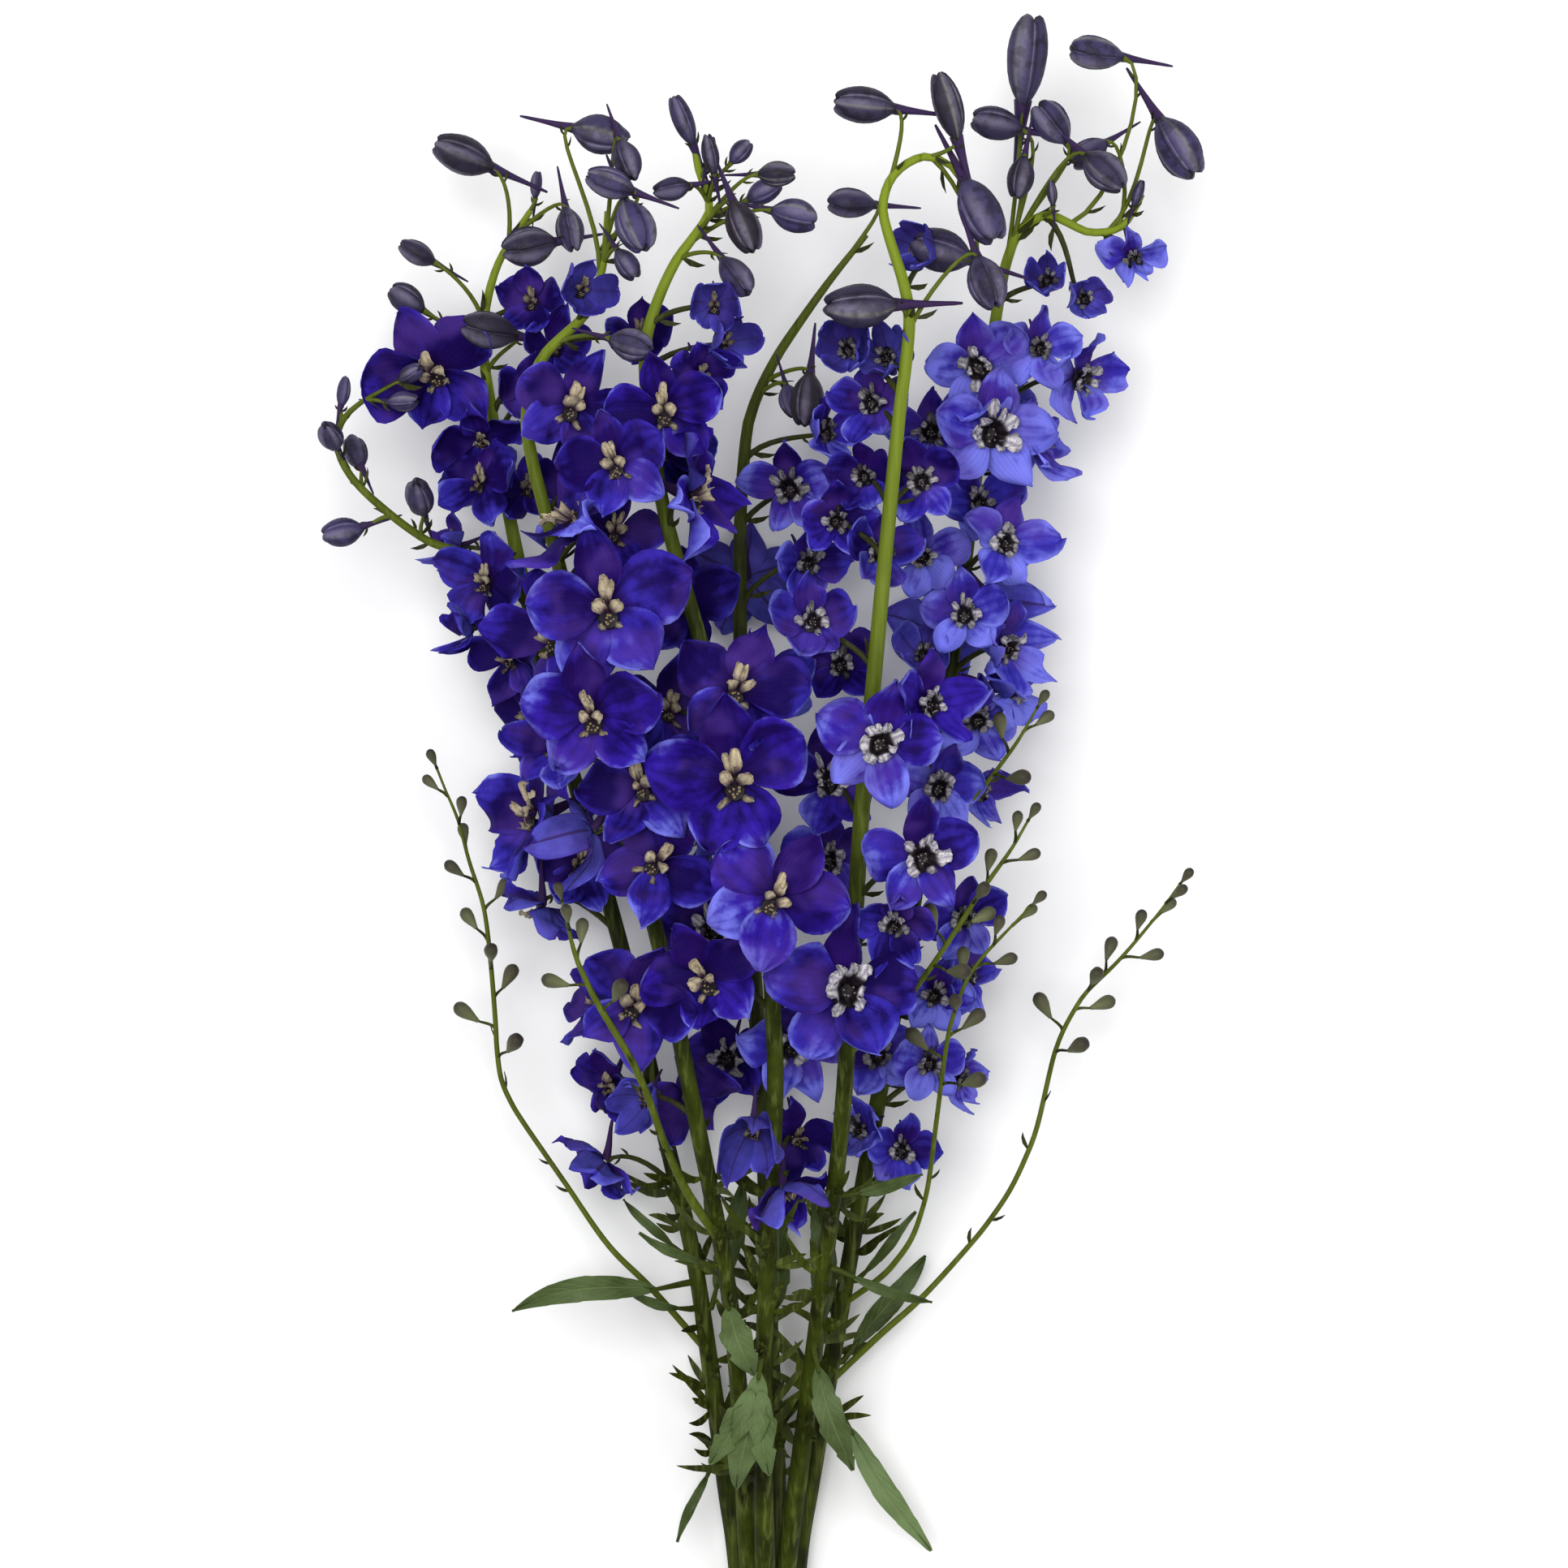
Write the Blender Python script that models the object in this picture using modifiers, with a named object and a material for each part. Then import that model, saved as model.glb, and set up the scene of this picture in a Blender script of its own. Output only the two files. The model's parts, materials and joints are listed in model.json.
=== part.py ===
"""A tied bunch of six cut delphinium spikes, lying on a flat surface.

Metres, +Z up. The origin is on the surface, under the cut end of the middle stem, and +Y runs
along the bunch to its flowering tips, which face +Z. The tables of places are in millimetres.
"""

import math
import random
from collections import namedtuple

import bmesh
import bpy
from mathutils import Matrix, Vector

MM = 0.001

# Driving sizes of the plant.
STEM_RADIUS = 0.0041
TIP_RADIUS = 0.0014
ABOVE_TIE_SLIMMING = 0.22
SEPAL_LENGTH = 0.0255
PEDICEL_LENGTH = 0.027
PEDICEL_RADIUS = 0.0009
SEAT_GAP = 0.00035

# Where the bunch is tied, and how its stems stack there: three below, then two, then one.
TIE_Y = 55
TIE_WIDTH = 7.2 * MM
TIE_THICKNESS = 1.5 * MM
STEM_PITCH = 8.7
STACK_RISE = STEM_PITCH * math.sin(math.radians(60))
TIE_LOW = 6.6
TIE_STRAIGHT = 7
CUT_LOW = 3.45
SHARP_BEND = math.radians(16)

# How flowers stand on their stem, and what they keep clear of.
GOLDEN_ANGLE = 137.5
PEDICEL_RISE = math.radians(48)
FOOT_DROP = 0.65
BACK_START = -165
BACK_ARC = 150
LOWEST_CENTRE = 0.012
FLOOR_SOFTNESS = 0.005
PRESSED_FLAT = -0.006
PETAL_THICKNESS = 0.0012
CLEARANCE = 0.0012
OWN_SHARE = 0.62

# Buds of the side shoots, in millimetres, as length and pedicel.
GREEN_BUD = (9.6, 9.5)
VIOLET_BUD = (14.0, 13.5)

Spike = namedtuple("Spike", "name path open buds behind")
Shoot = namedtuple("Shoot", "name parent foot_y foot_side path buds first kind radius")
Leaf = namedtuple("Leaf", "name parent foot_y foot_side tip arch lobes width")
Flower = namedtuple("Flower", "spike kind base centre facing up size cup")


def tied(x, row):
    """A stem's straight stretch through the tie, in one of the rows of the stack."""
    z = TIE_LOW + row * STACK_RISE
    return [(x, TIE_Y - TIE_STRAIGHT, z), (x, TIE_Y + TIE_STRAIGHT, z)]


# For each stem, from the front of the bunch to the back: its line from the cut end to the tip;
# its open flowers that show from the front, as x, y, lift off the stem's line, the direction
# faced, roll, radius, and rise of the rim over the radius; its buds, as the neck's x, y and
# lift, the direction of the tip, and length; and how many flowers stand behind, and from where.
SPIKES = [
    Spike(
        "spike_front_right",
        [
            (5.0, -5, CUT_LOW + STACK_RISE), (4.8, 20, 12.7), *tied(4.35, 1),
            (8.5, 100, 22), (13, 134, 31), (20, 194, 52), (27, 254, 72), (31, 314, 88),
            (34.5, 374, 98), (39, 424, 104), (44, 478, 108), (48, 518, 110), (51.5, 552, 110),
            (46.5, 574, 108), (42, 591, 106), (46, 604, 104), (57, 611, 101), (67, 608, 97),
            (73, 599, 93),
        ],
        [
            (28, 310, 27, 0.1, 0.1, 1.0, 5, 29, 0.2), (40, 399, 27, 0.0, 0.05, 1.0, -15, 24, 0.25),
            (55, 358, 23, 0.1, 0.0, 1.0, -10, 23, 0.3), (58, 412, 12, 0.4, 0.2, 1.0, 0, 19, 0.45),
            (46, 334, 9, 0.2, -0.3, 1.0, 0, 17, 0.5), (16, 442, 0, 0.0, 0.1, 1.0, 0, 18, 0.55),
            (25, 480, -12, 0.2, -0.1, 1.0, 0, 16, 0.5), (39, 522, -15, -0.3, 0.0, 1.0, 0, 17, 0.5),
            (44, 538, -12, -0.2, 0.1, 1.0, 0, 14, 0.9), (36, 496, -16, -0.1, -0.1, 1.0, 0, 15, 0.6),
            (56, 494, -13, 0.2, 0.1, 1.0, 0, 17, 0.5), (30, 541, -14, -0.2, 0.1, 1.0, 0, 14, 0.8),
            (24, 385, -24, -0.2, 0.0, 1.0, 0, 21, 0.35), (40, 468, -14, 0.1, 0.1, 1.0, 0, 16, 0.5),
            (58, 578, -18, -0.3, 0.2, 0.8, 0, 13, 0.9),
        ],
        [
            (46, 628, 3, -1.0, 0.1, 0.1, 21), (69, 617, 6, -0.3, 1.0, 0.1, 24),
            (72, 602, 8, 0.5, -1.0, 0.2, 24), (74, 575, -6, -1.0, 0.3, 0.1, 22),
            (76, 573, 6, 0.35, -1.0, 0.2, 19), (46, 556, 8, -1.0, -0.05, 0.2, 25),
        ],
        (0, 250, 420),
    ),
    Spike(
        "spike_centre_left",
        [
            (0, -4, CUT_LOW + 2 * STACK_RISE), (0, 20, 20.7), *tied(0, 2),
            (-1, 100, 32), (-1.5, 148, 44), (0, 208, 60), (3, 268, 77), (0, 328, 90),
            (-10, 380, 96), (-22, 428, 98), (-36, 478, 98), (-43.5, 524, 96), (-43, 549, 94),
            (-33, 574, 92), (-21, 592, 90), (-25, 608, 88), (-27.5, 624, 86),
        ],
        [
            (-12, 386, 30, 0.0, 0.0, 1.0, 2, 31, 0.16), (3, 343, 29, 0.05, -0.1, 1.0, -25, 27, 0.2),
            (-37, 518, 24, 0.1, 0.05, 1.0, 10, 22, 0.4), (-11, 418, 15, 0.3, 0.3, 1.0, -15, 27, 0.25),
            (-28, 488, 15, 0.8, 0.1, 0.3, -60, 27, 0.3), (-19, 557, 14, 0.1, 0.0, 1.0, 0, 13, 0.8),
            (-16, 543, 8, 0.4, -0.1, 1.0, 0, 13, 0.8), (-24, 532, 9, 0.2, -0.1, 1.0, 0, 16, 0.6),
            (-5, 259, 20, 0.1, -0.55, 0.7, 0, 17, 0.9), (6, 236, 6, 0.1, -0.8, 0.1, 0, 19, 0.5),
            (-22, 314, 16, -0.1, -0.1, 1.0, 20, 23, 0.25), (-38, 506, -16, 0.3, 0.0, 1.0, 0, 19, 0.4),
            (-32, 450, -20, 0.2, 0.1, 1.0, 0, 22, 0.3), (11, 253, -26, 0.3, -0.4, 1.0, 0, 17, 0.5),
            (-36, 411, -15, 0.1, 0.0, 1.0, 0, 20, 0.4),
        ],
        [
            (-27, 617, 2, -0.4, 1.0, 0.1, 18), (-22, 609, 6, 0.2, 1.0, 0.2, 10),
            (-13, 610, 2, 0.7, 0.8, 0.0, 10), (-3, 606, 0, 1.0, 0.0, 0.1, 13),
            (-12, 594, 14, 0.4, -1.0, 0.2, 19), (2, 592, 6, 1.0, -0.25, 0.0, 16),
            (-7, 597, -4, 0.8, 0.4, 0.0, 13), (-16, 574, 10, 0.5, -0.7, 0.2, 16),
            (-28, 601, 9, -1.0, -0.2, 0.1, 13), (-19, 605, 12, -0.2, 1.0, 0.3, 14),
        ],
        (1, 270, 420),
    ),
    Spike(
        "spike_left",
        [
            (-5.0, 1, CUT_LOW + STACK_RISE), (-4.8, 20, 12.7), *tied(-4.35, 1),
            (-7.5, 100, 21), (-10, 148, 33), (-15, 200, 50), (-26, 260, 70), (-38, 320, 86),
            (-52, 374, 96), (-66.5, 428, 101), (-79, 478, 102), (-87, 515, 101), (-80, 540, 99),
            (-66, 554, 97), (-59, 575, 95), (-58, 592, 92),
        ],
        [
            (-57, 447, 30, 0.0, 0.05, 1.0, 8, 31, 0.16), (-70, 520, 25, 0.3, 0.15, 1.0, -25, 24, 0.35),
            (-62, 409, 22, -0.15, -0.2, 1.0, 8, 28, 0.2), (-39, 356, 24, 0.0, -0.1, 1.0, -28, 27, 0.2),
            (-45, 383, 17, -0.1, 0.0, 1.0, 10, 26, 0.2), (-54, 498, 26, 0.0, 0.1, 1.0, 10, 21, 0.45),
            (-67, 562, 17, 0.2, 0.1, 1.0, 0, 14, 0.8), (-48, 304, 24, -0.1, -0.1, 1.0, -15, 27, 0.2),
            (-69, 477, 17, -0.5, 0.55, 0.3, 60, 28, 0.3), (-76, 436, 8, -0.6, 0.0, 1.0, 0, 25, 0.25),
            (-44, 268, 10, -0.4, -0.3, 0.6, 0, 15, 0.8), (-47, 548, -20, 0.2, 0.2, 1.0, 0, 15, 0.6),
            (-30, 268, -24, 0.1, -0.3, 1.0, 0, 18, 0.4), (-77, 397, -16, -0.3, 0.0, 1.0, 0, 18, 0.4),
            (-55, 475, -4, 0.0, 0.1, 1.0, 0, 21, 0.4), (-70, 494, -14, 0.1, 0.0, 1.0, 0, 17, 0.5),
        ],
        [
            (-70, 622, 4, 1.0, -0.25, 0.1, 20), (-53, 616, 6, 0.35, -1.0, 0.2, 15),
            (-48, 597, 10, -1.0, 0.35, 0.1, 18), (-51, 594, 16, 0.4, -1.0, 0.2, 19),
            (-56, 544, 16, 1.0, -0.3, 0.2, 15), (-54, 577, 8, 0.4, -0.6, 0.1, 12),
        ],
        (1, 270, 440),
    ),
    Spike(
        "spike_right",
        [
            (10.5, 3, CUT_LOW), (9.8, 20, CUT_LOW), *tied(STEM_PITCH, 0), (12, 95, 8.5),
            (16, 118, 10.5), (24, 164, 15), (34.5, 224, 23), (45, 284, 31), (55.5, 344, 37),
            (64.5, 398, 39), (72, 452, 40), (78, 500, 42), (83, 542, 45), (87, 568, 48),
            (93, 588, 50), (105, 595, 51), (118.5, 589, 51), (132, 591, 50), (139.5, 603, 48),
        ],
        [
            (82, 514, 26, 0.1, 0.05, 1.0, -15, 24, 0.35), (99, 510, 12, 0.8, 0.1, 0.6, 0, 18, 0.35),
            (78, 538, 21, -0.1, 0.1, 1.0, 10, 21, 0.45), (100, 545, 18, 0.2, -0.3, 1.0, 0, 16, 0.4),
            (115, 535, 6, 0.7, -0.2, 0.5, 0, 19, 0.3), (117, 564, 3, 0.4, -0.3, 0.8, 0, 11, 0.9),
            (104, 570, 7, 0.1, 0.1, 1.0, 0, 11, 0.9), (136, 581, -5, 0.1, -0.5, 0.8, 0, 13, 0.3),
            (87, 473, 20, 0.4, 0.2, 1.0, 0, 19, 0.4), (58, 468, 17, -0.2, 0.0, 1.0, 0, 18, 0.4),
            (78, 488, 9, 0.3, 0.3, 1.0, 0, 17, 0.5), (73, 446, 24, 0.0, 0.2, 1.0, 0, 18, 0.5),
            (88, 435, 12, 0.6, 0.0, 0.8, 0, 18, 0.5), (58, 431, 13, -0.2, 0.3, 0.8, 0, 15, 0.9),
            (78, 408, 20, 0.2, 0.0, 1.0, 0, 19, 0.35), (88, 419, 6, 0.9, 0.2, 0.4, 0, 19, 0.3),
            (63, 383, 23, 0.0, -0.3, 1.0, 0, 19, 0.4), (79, 382, 10, 0.5, -0.2, 0.8, 0, 15, 0.6),
            (73, 334, 19, 0.3, 0.0, 1.0, 0, 17, 0.4), (74, 312, 7, 0.6, -0.2, 0.7, 0, 16, 0.4),
            (60, 280, 18, 0.2, 0.0, 1.0, 0, 16, 0.45), (71, 274, 4, 0.8, -0.3, 0.4, 0, 13, 0.5),
            (50, 247, 20, 0.0, 0.0, 1.0, 0, 17, 0.55), (36, 254, 10, -0.5, 0.0, 0.8, 0, 13, 0.6),
            (90, 516, -30, 0.75, -0.1, -0.65, 0, 21, 0.3), (66, 440, -27, -0.3, -0.1, -0.9, 0, 22, 0.3),
            (42, 282, 10, -0.3, 0.0, 1.0, 0, 17, 0.4), (61, 514, 8, -0.2, 0.1, 1.0, 0, 18, 0.4),
            (62, 305, 14, 0.1, -0.1, 1.0, 0, 16, 0.45),
        ],
        [
            (95, 636, 2, 0.1, 1.0, 0.1, 32), (132, 654, 2, -1.0, 0.15, 0.1, 19),
            (146, 630, 6, 0.5, -0.85, 0.2, 24), (94, 626, 8, -1.0, 0.2, 0.1, 18),
            (111, 622, 4, -0.65, 0.8, 0.1, 17), (95, 615, 14, -0.2, -1.0, 0.1, 15),
            (106, 598, 6, -0.1, 1.0, 0.1, 9), (118, 616, 12, 0.75, -0.7, 0.2, 18),
            (126, 622, 4, -0.8, -0.5, 0.1, 15), (136, 598, 4, 0.3, 0.9, 0.2, 10),
        ],
        (2, 260, 500),
    ),
    Spike(
        "spike_far_left",
        [
            (-10.5, -2, CUT_LOW), (-9.8, 20, CUT_LOW), *tied(-STEM_PITCH, 0),
            (-12, 95, 8.5), (-15.5, 118, 10.5), (-22.5, 170, 16), (-28, 206, 20),
            (-39, 254, 27), (-52.5, 314, 33), (-69, 374, 37), (-84, 428, 38), (-96, 482, 38),
            (-104, 530, 39), (-106, 554, 40), (-100.5, 578, 40), (-88.5, 598, 38),
        ],
        [
            (-124, 538, 18, -0.15, -0.3, 1.0, 20, 26, 0.16), (-106, 513, 10, 0.0, -0.6, 0.5, 0, 18, 0.4),
            (-106, 496, 14, -0.4, 0.2, 0.7, 0, 18, 0.4), (-103, 459, 16, -0.5, 0.0, 0.8, 0, 20, 0.35),
            (-116, 473, 6, -0.9, 0.1, 0.4, 0, 14, 0.5), (-110, 442, 9, -0.8, 0.0, 0.5, 0, 14, 0.6),
            (-95, 431, 15, -0.6, -0.1, 0.7, 0, 18, 0.4), (-87, 408, 12, -0.7, 0.0, 0.6, 0, 18, 0.4),
            (-85, 372, 15, -0.85, 0.1, 0.3, 30, 28, 0.35), (-84, 338, 5, -0.3, -0.85, 0.2, 0, 20, 0.4),
            (-62, 302, 14, -0.7, 0.1, 0.6, 0, 19, 0.4), (-61, 242, 8, -0.75, -0.5, 0.1, 0, 19, 0.5),
            (-87, 563, 10, -0.2, 0.1, 1.0, 0, 15, 0.6), (-58, 272, 14, -0.3, -0.4, 0.8, 0, 18, 0.4),
            (-104, 506, -26, -0.75, -0.1, -0.65, 0, 21, 0.3), (-80, 420, -26, 0.4, -0.1, -0.9, 0, 22, 0.3),
            (-89, 529, 20, 0.1, 0.1, 1.0, 0, 15, 0.6), (-71, 354, 8, 0.2, 0.1, 1.0, 0, 19, 0.4),
            (-79, 545, 14, 0.3, 0.1, 1.0, 0, 15, 0.6), (-90, 494, 4, 0.3, 0.0, 1.0, 0, 16, 0.5),
        ],
        [
            (-103, 614, 3, -1.0, 0.42, 0.1, 22), (-79, 585, 14, -1.0, -0.2, 0.2, 19),
            (-124, 578, 6, -0.9, 0.5, 0.1, 14), (-128, 560, 8, -0.85, 0.55, 0.1, 14),
            (-75, 598, 10, 0.2, -1.0, 0.1, 16), (-93, 550, 16, -1.0, 0.2, 0.2, 20),
            (-87, 603, -4, 0.1, 1.0, 0.0, 10),
        ],
        (1, 260, 440),
    ),
    Spike(
        "spike_middle",
        [
            (0, -8, CUT_LOW), (0, 20, CUT_LOW), *tied(0, 0), (2, 95, 7.5), (3.5, 120, 8.5),
            (1, 178, 14), (-1.5, 254, 23), (-6, 328, 31), (-9, 388, 35), (-10, 434, 37),
            (-10, 482, 39), (-8, 512, 41), (-3, 530, 43), (7.5, 549, 45), (22.5, 570, 47),
            (37, 588, 49),
        ],
        [
            (9, 494, 14, -0.1, 0.0, 1.0, 0, 18, 0.45), (21, 514, 10, 0.4, 0.1, 0.8, 0, 15, 0.6),
            (-2, 420, 18, 0.2, 0.0, 1.0, 10, 20, 0.3), (14, 466, 8, 0.5, -0.1, 0.7, 0, 17, 0.5),
            (-19, 330, 18, -0.2, 0.0, 1.0, 0, 23, 0.25), (8, 288, 20, 0.2, -0.1, 1.0, 0, 22, 0.3),
            (-14, 282, 14, -0.3, -0.2, 1.0, 0, 20, 0.35), (-8, 462, -24, 0.2, -0.1, -1.0, 0, 22, 0.3),
            (23, 356, 4, 0.2, 0.0, 1.0, 0, 19, 0.4), (27, 428, 4, 0.2, 0.0, 1.0, 0, 17, 0.5),
        ],
        [
            (40, 599, 2, -1.0, 0.05, 0.1, 17), (16, 536, 8, -0.1, -1.0, 0.1, 19),
            (7, 532, 6, 0.3, -1.0, 0.1, 12),
        ],
        (1, 300, 400),
    ),
]

# Side shoots: the stem that each grows from, where on it (height along +Y, and angle round it
# from +X), its line after that, its buds, and how far along the first one stands.
SHOOTS = [
    Shoot(
        "shoot_left", "spike_far_left", 168, 170,
        [
            (-43.5, 193, 20), (-60, 210, 23), (-76.5, 234, 25), (-91.5, 256, 27), (-100, 273, 29),
            (-102, 295, 32), (-103.5, 316, 35), (-106, 337, 37), (-111.5, 355, 38),
            (-115.5, 370, 39), (-120.5, 382, 39), (-124, 391, 39),
        ],
        11, 0.55, "green_bud", 1.3,
    ),
    Shoot(
        "shoot_right", "spike_right", 156, 8,
        [
            (42, 175, 17), (58.5, 190, 19), (76.5, 210, 21), (91.5, 231, 24), (101.5, 255, 27),
            (106.5, 277, 29), (111, 291, 31), (120, 306, 33), (132, 318, 35), (145.5, 334, 36),
            (155, 347, 37),
        ],
        10, 0.66, "green_bud", 1.3,
    ),
    Shoot(
        "shoot_right_inner", "spike_right", 186, 30,
        [
            (42, 198, 30), (54, 214, 40), (60, 236, 53), (62.5, 259, 66), (66, 289, 79),
            (73.5, 313, 87), (85.5, 328, 90), (97, 340, 91),
        ],
        9, 0.58, "green_bud", 1.2,
    ),
    Shoot(
        "shoot_front_right", "spike_front_right", 284, 20,
        [
            (44, 296, 88), (54, 309, 93), (65, 325, 98), (76.5, 343, 101), (88.5, 360, 102),
            (95, 371, 102),
        ],
        8, 0.42, "green_bud", 1.3,
    ),
    Shoot(
        "shoot_far_right", "spike_right", 352, 25,
        [(69, 369, 53), (82, 385, 58), (93, 400, 60), (100, 412, 60)],
        4, 0.62, "green_bud", 1.1,
    ),
    Shoot(
        "shoot_front_left", "spike_left", 214, 140,
        [
            (-29, 233, 72), (-37, 252, 87), (-43, 270, 98), (-50, 286, 106), (-60.5, 304, 112),
            (-69, 323, 116), (-73.5, 342, 118),
        ],
        5, 0.72, "green_bud", 1.8,
    ),
    Shoot(
        "shoot_curled_left", "spike_far_left", 458, 165,
        [
            (-109, 468, 50), (-126, 474, 52), (-142.5, 486, 54), (-154.5, 498, 55),
            (-159.5, 510, 56), (-156, 520, 57), (-147, 527, 58), (-136, 533, 58),
        ],
        7, 0.34, "bud", 2.0,
    ),
]

# Leaves: the stem and the place on it, the tip's offset from there, how far the blade arches
# up, the angles of its lobes from the middle one, and a lobe's width.
LEAVES = [
    Leaf("leaf_arched_left", "spike_far_left", 196, 175, (-66, -8, 12), 16, (0,), 9.5),
    Leaf("leaf_long_right", "spike_right", 150, -20, (34, -58, 2), 6, (0,), 9),
    Leaf("leaf_front", "spike_centre_left", 176, 100, (-8, -53, 0), 14, (0, 14, -17), 14),
    Leaf("leaf_front_right", "spike_front_right", 176, 110, (13, -48, -2), 12, (0,), 11.5),
    Leaf("leaf_upright_right", "spike_right", 164, -22, (31, 42, -5), 2, (0,), 8.5),
    Leaf("leaf_centre", "spike_left", 196, 115, (10, -32, 4), 10, (0,), 12.5),
    Leaf("leaf_narrow_left", "spike_left", 205, 170, (-28, 13, 4), 10, (0,), 3.8),
    Leaf("leaf_narrow_right", "spike_front_right", 204, 10, (36, -14, 0), 6, (0,), 4),
    Leaf("leaf_small_right", "spike_front_right", 232, -5, (30, 6, -4), 6, (0,), 4.8),
    Leaf("leaf_low_left", "spike_far_left", 128, 150, (-14, -30, 4), 4, (0,), 3.6),
    Leaf("leaf_inner_right", "spike_middle", 178, 60, (4, 50, 10), 5, (0,), 10),
    Leaf("leaf_inner_left", "spike_far_left", 184, 25, (12, 50, 8), 5, (0,), 10),
    Leaf("leaf_inner_far_right", "spike_right", 172, 150, (-4, 56, 8), 5, (0,), 10),
    Leaf("leaf_wisp_left", "spike_far_left", 206, 172, (-22, 22, 2), 8, (0,), 3.6),
    Leaf("leaf_wisp_low", "spike_far_left", 186, 150, (-26, 6, 2), 14, (0,), 3.6),
    Leaf("leaf_wisp_right", "spike_right", 196, 20, (24, 26, 4), 6, (0,), 3.8),
]

# What is tried in turn until a flower stands clear: for one that shows from the front, a shift
# along Z in millimetres and a scale; for one behind, a turn round the stem and a reach.
SHIFTS = [
    (0, 1.0), (-4, 1.0), (4, 1.0), (-8, 1.0), (8, 1.0), (-12, 0.95), (12, 0.95),
    (-16, 0.9), (0, 0.85), (-8, 0.85), (8, 0.85), (-20, 0.8),
]
TURNS = [(0, 1.0), (14, 1.0), (-14, 1.0), (0, 0.8), (28, 0.9), (-28, 0.9), (0, 1.25), (0, 0.65)]


# The plan: lines, and where each flower stands.

def smooth(points):
    """A Catmull-Rom line through points in millimetres, with a point added where it bends."""
    points = [Vector(p) * MM for p in points]
    ends = [2 * points[0] - points[1]] + points + [2 * points[-1] - points[-2]]
    line = []
    for a, b, c, d in zip(ends, ends[1:], ends[2:], ends[3:]):
        line.append(b)
        if (b - a).angle(d - c) > SHARP_BEND:
            line.append((9 * (b + c) - a - d) / 16)
    return line + [points[-1]]


class Line:
    """A line of points, read by the distance along it, with a radius that tapers to its tip."""

    def __init__(self, points, foot_radius, tip_radius):
        self.points = points
        self.foot_radius = foot_radius
        self.tip_radius = tip_radius
        self.along = [0.0]
        for a, b in zip(points, points[1:]):
            self.along.append(self.along[-1] + (b - a).length)
        self.length = self.along[-1]

    def at(self, s):
        """The point at distance s, and the direction of the line there."""
        s = min(max(s, 0.0), self.length)
        i = next(k for k, end in enumerate(self.along[1:]) if s <= end + 1e-9)
        a, b = self.points[i], self.points[i + 1]
        return a.lerp(b, (s - self.along[i]) / (b - a).length), (b - a).normalized()

    def radius(self, s):
        share = min(max(s / self.length, 0.0), 1.0)
        full = self.foot_radius + (self.tip_radius - self.foot_radius) * share**5
        return full * (1 - ABOVE_TIE_SLIMMING * min(max(share - 0.12, 0.0) / 0.2, 1.0))

    def samples(self, step=0.006):
        """Distances along the line, a step apart."""
        return [i * step for i in range(int(self.length / step) + 1)]

    def distance_at_y(self, y):
        return next(s for s in self.samples(0.001) if self.at(s)[0].y >= y)

    def distance_nearest(self, x, y):
        """The distance along the line where it is nearest to x, y, seen from above."""
        return min(self.samples(0.003), key=lambda s: (self.at(s)[0].xy - Vector((x, y))).length)

    def side(self, s, degrees):
        """The direction out of the line at distance s: 0 is towards +X and 90 towards +Z."""
        forward = self.at(s)[1]
        across = forward.cross(Vector((0, 0, 1))).normalized()
        rise = across.cross(forward)
        return across * math.cos(math.radians(degrees)) + rise * math.sin(math.radians(degrees))


def shoot_line(shoot, lines):
    """A side shoot's line, which starts a small gap off its parent's surface."""
    parent = lines[shoot.parent]
    s = parent.distance_at_y(shoot.foot_y * MM)
    out = parent.side(s, shoot.foot_side)
    foot = parent.at(s)[0] + out * (parent.radius(s) + SEAT_GAP)
    start = (foot + out * 3 * MM) / MM
    return Line([foot] + smooth([start] + shoot.path), shoot.radius * MM, 0.0005)


def upright(facing, roll=0.0):
    """The direction of a flower's upper sepal: towards +Y, rolled about the way it faces."""
    wanted = Vector((-math.sin(math.radians(roll)), math.cos(math.radians(roll)), 0.1))
    return (wanted - facing * facing.dot(wanted)).normalized()


def foot_for(line, centre):
    """Where on its stem a flower's pedicel starts, some way below the flower."""
    near = line.distance_nearest(centre.x, centre.y)
    reach = (line.at(near)[0] - centre).length
    return line.at(max(near - FOOT_DROP * reach, 0.0))[0]


def front_flower(spike, line, row, shift, scale):
    x, y, lift, lean_x, lean_y, lean_z, roll, radius, cup = row
    near = line.distance_nearest(x * MM, y * MM)
    z = line.at(near)[0].z + (lift + shift) * MM
    centre = Vector((x * MM, y * MM, max(z, LOWEST_CENTRE)))
    facing = Vector((lean_x, lean_y, lean_z)).normalized()
    base = foot_for(line, centre)
    return Flower(
        spike.name, "open", base, centre, facing, upright(facing, roll), radius * scale * MM, cup
    )


def front_bud(spike, line, row, shift, scale):
    x, y, lift, tip_x, tip_y, tip_z, length = row
    near = line.distance_nearest(x * MM, y * MM)
    centre = Vector((x * MM, y * MM, line.at(near)[0].z + (lift + shift) * MM))
    facing = Vector((tip_x, tip_y, tip_z)).normalized()
    upward = (Vector((0, 0, -1)) + facing * facing.z).normalized()
    base = foot_for(line, centre)
    return Flower(spike.name, "bud", base, centre, facing, upward, length * scale * MM, 0.0)


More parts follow.
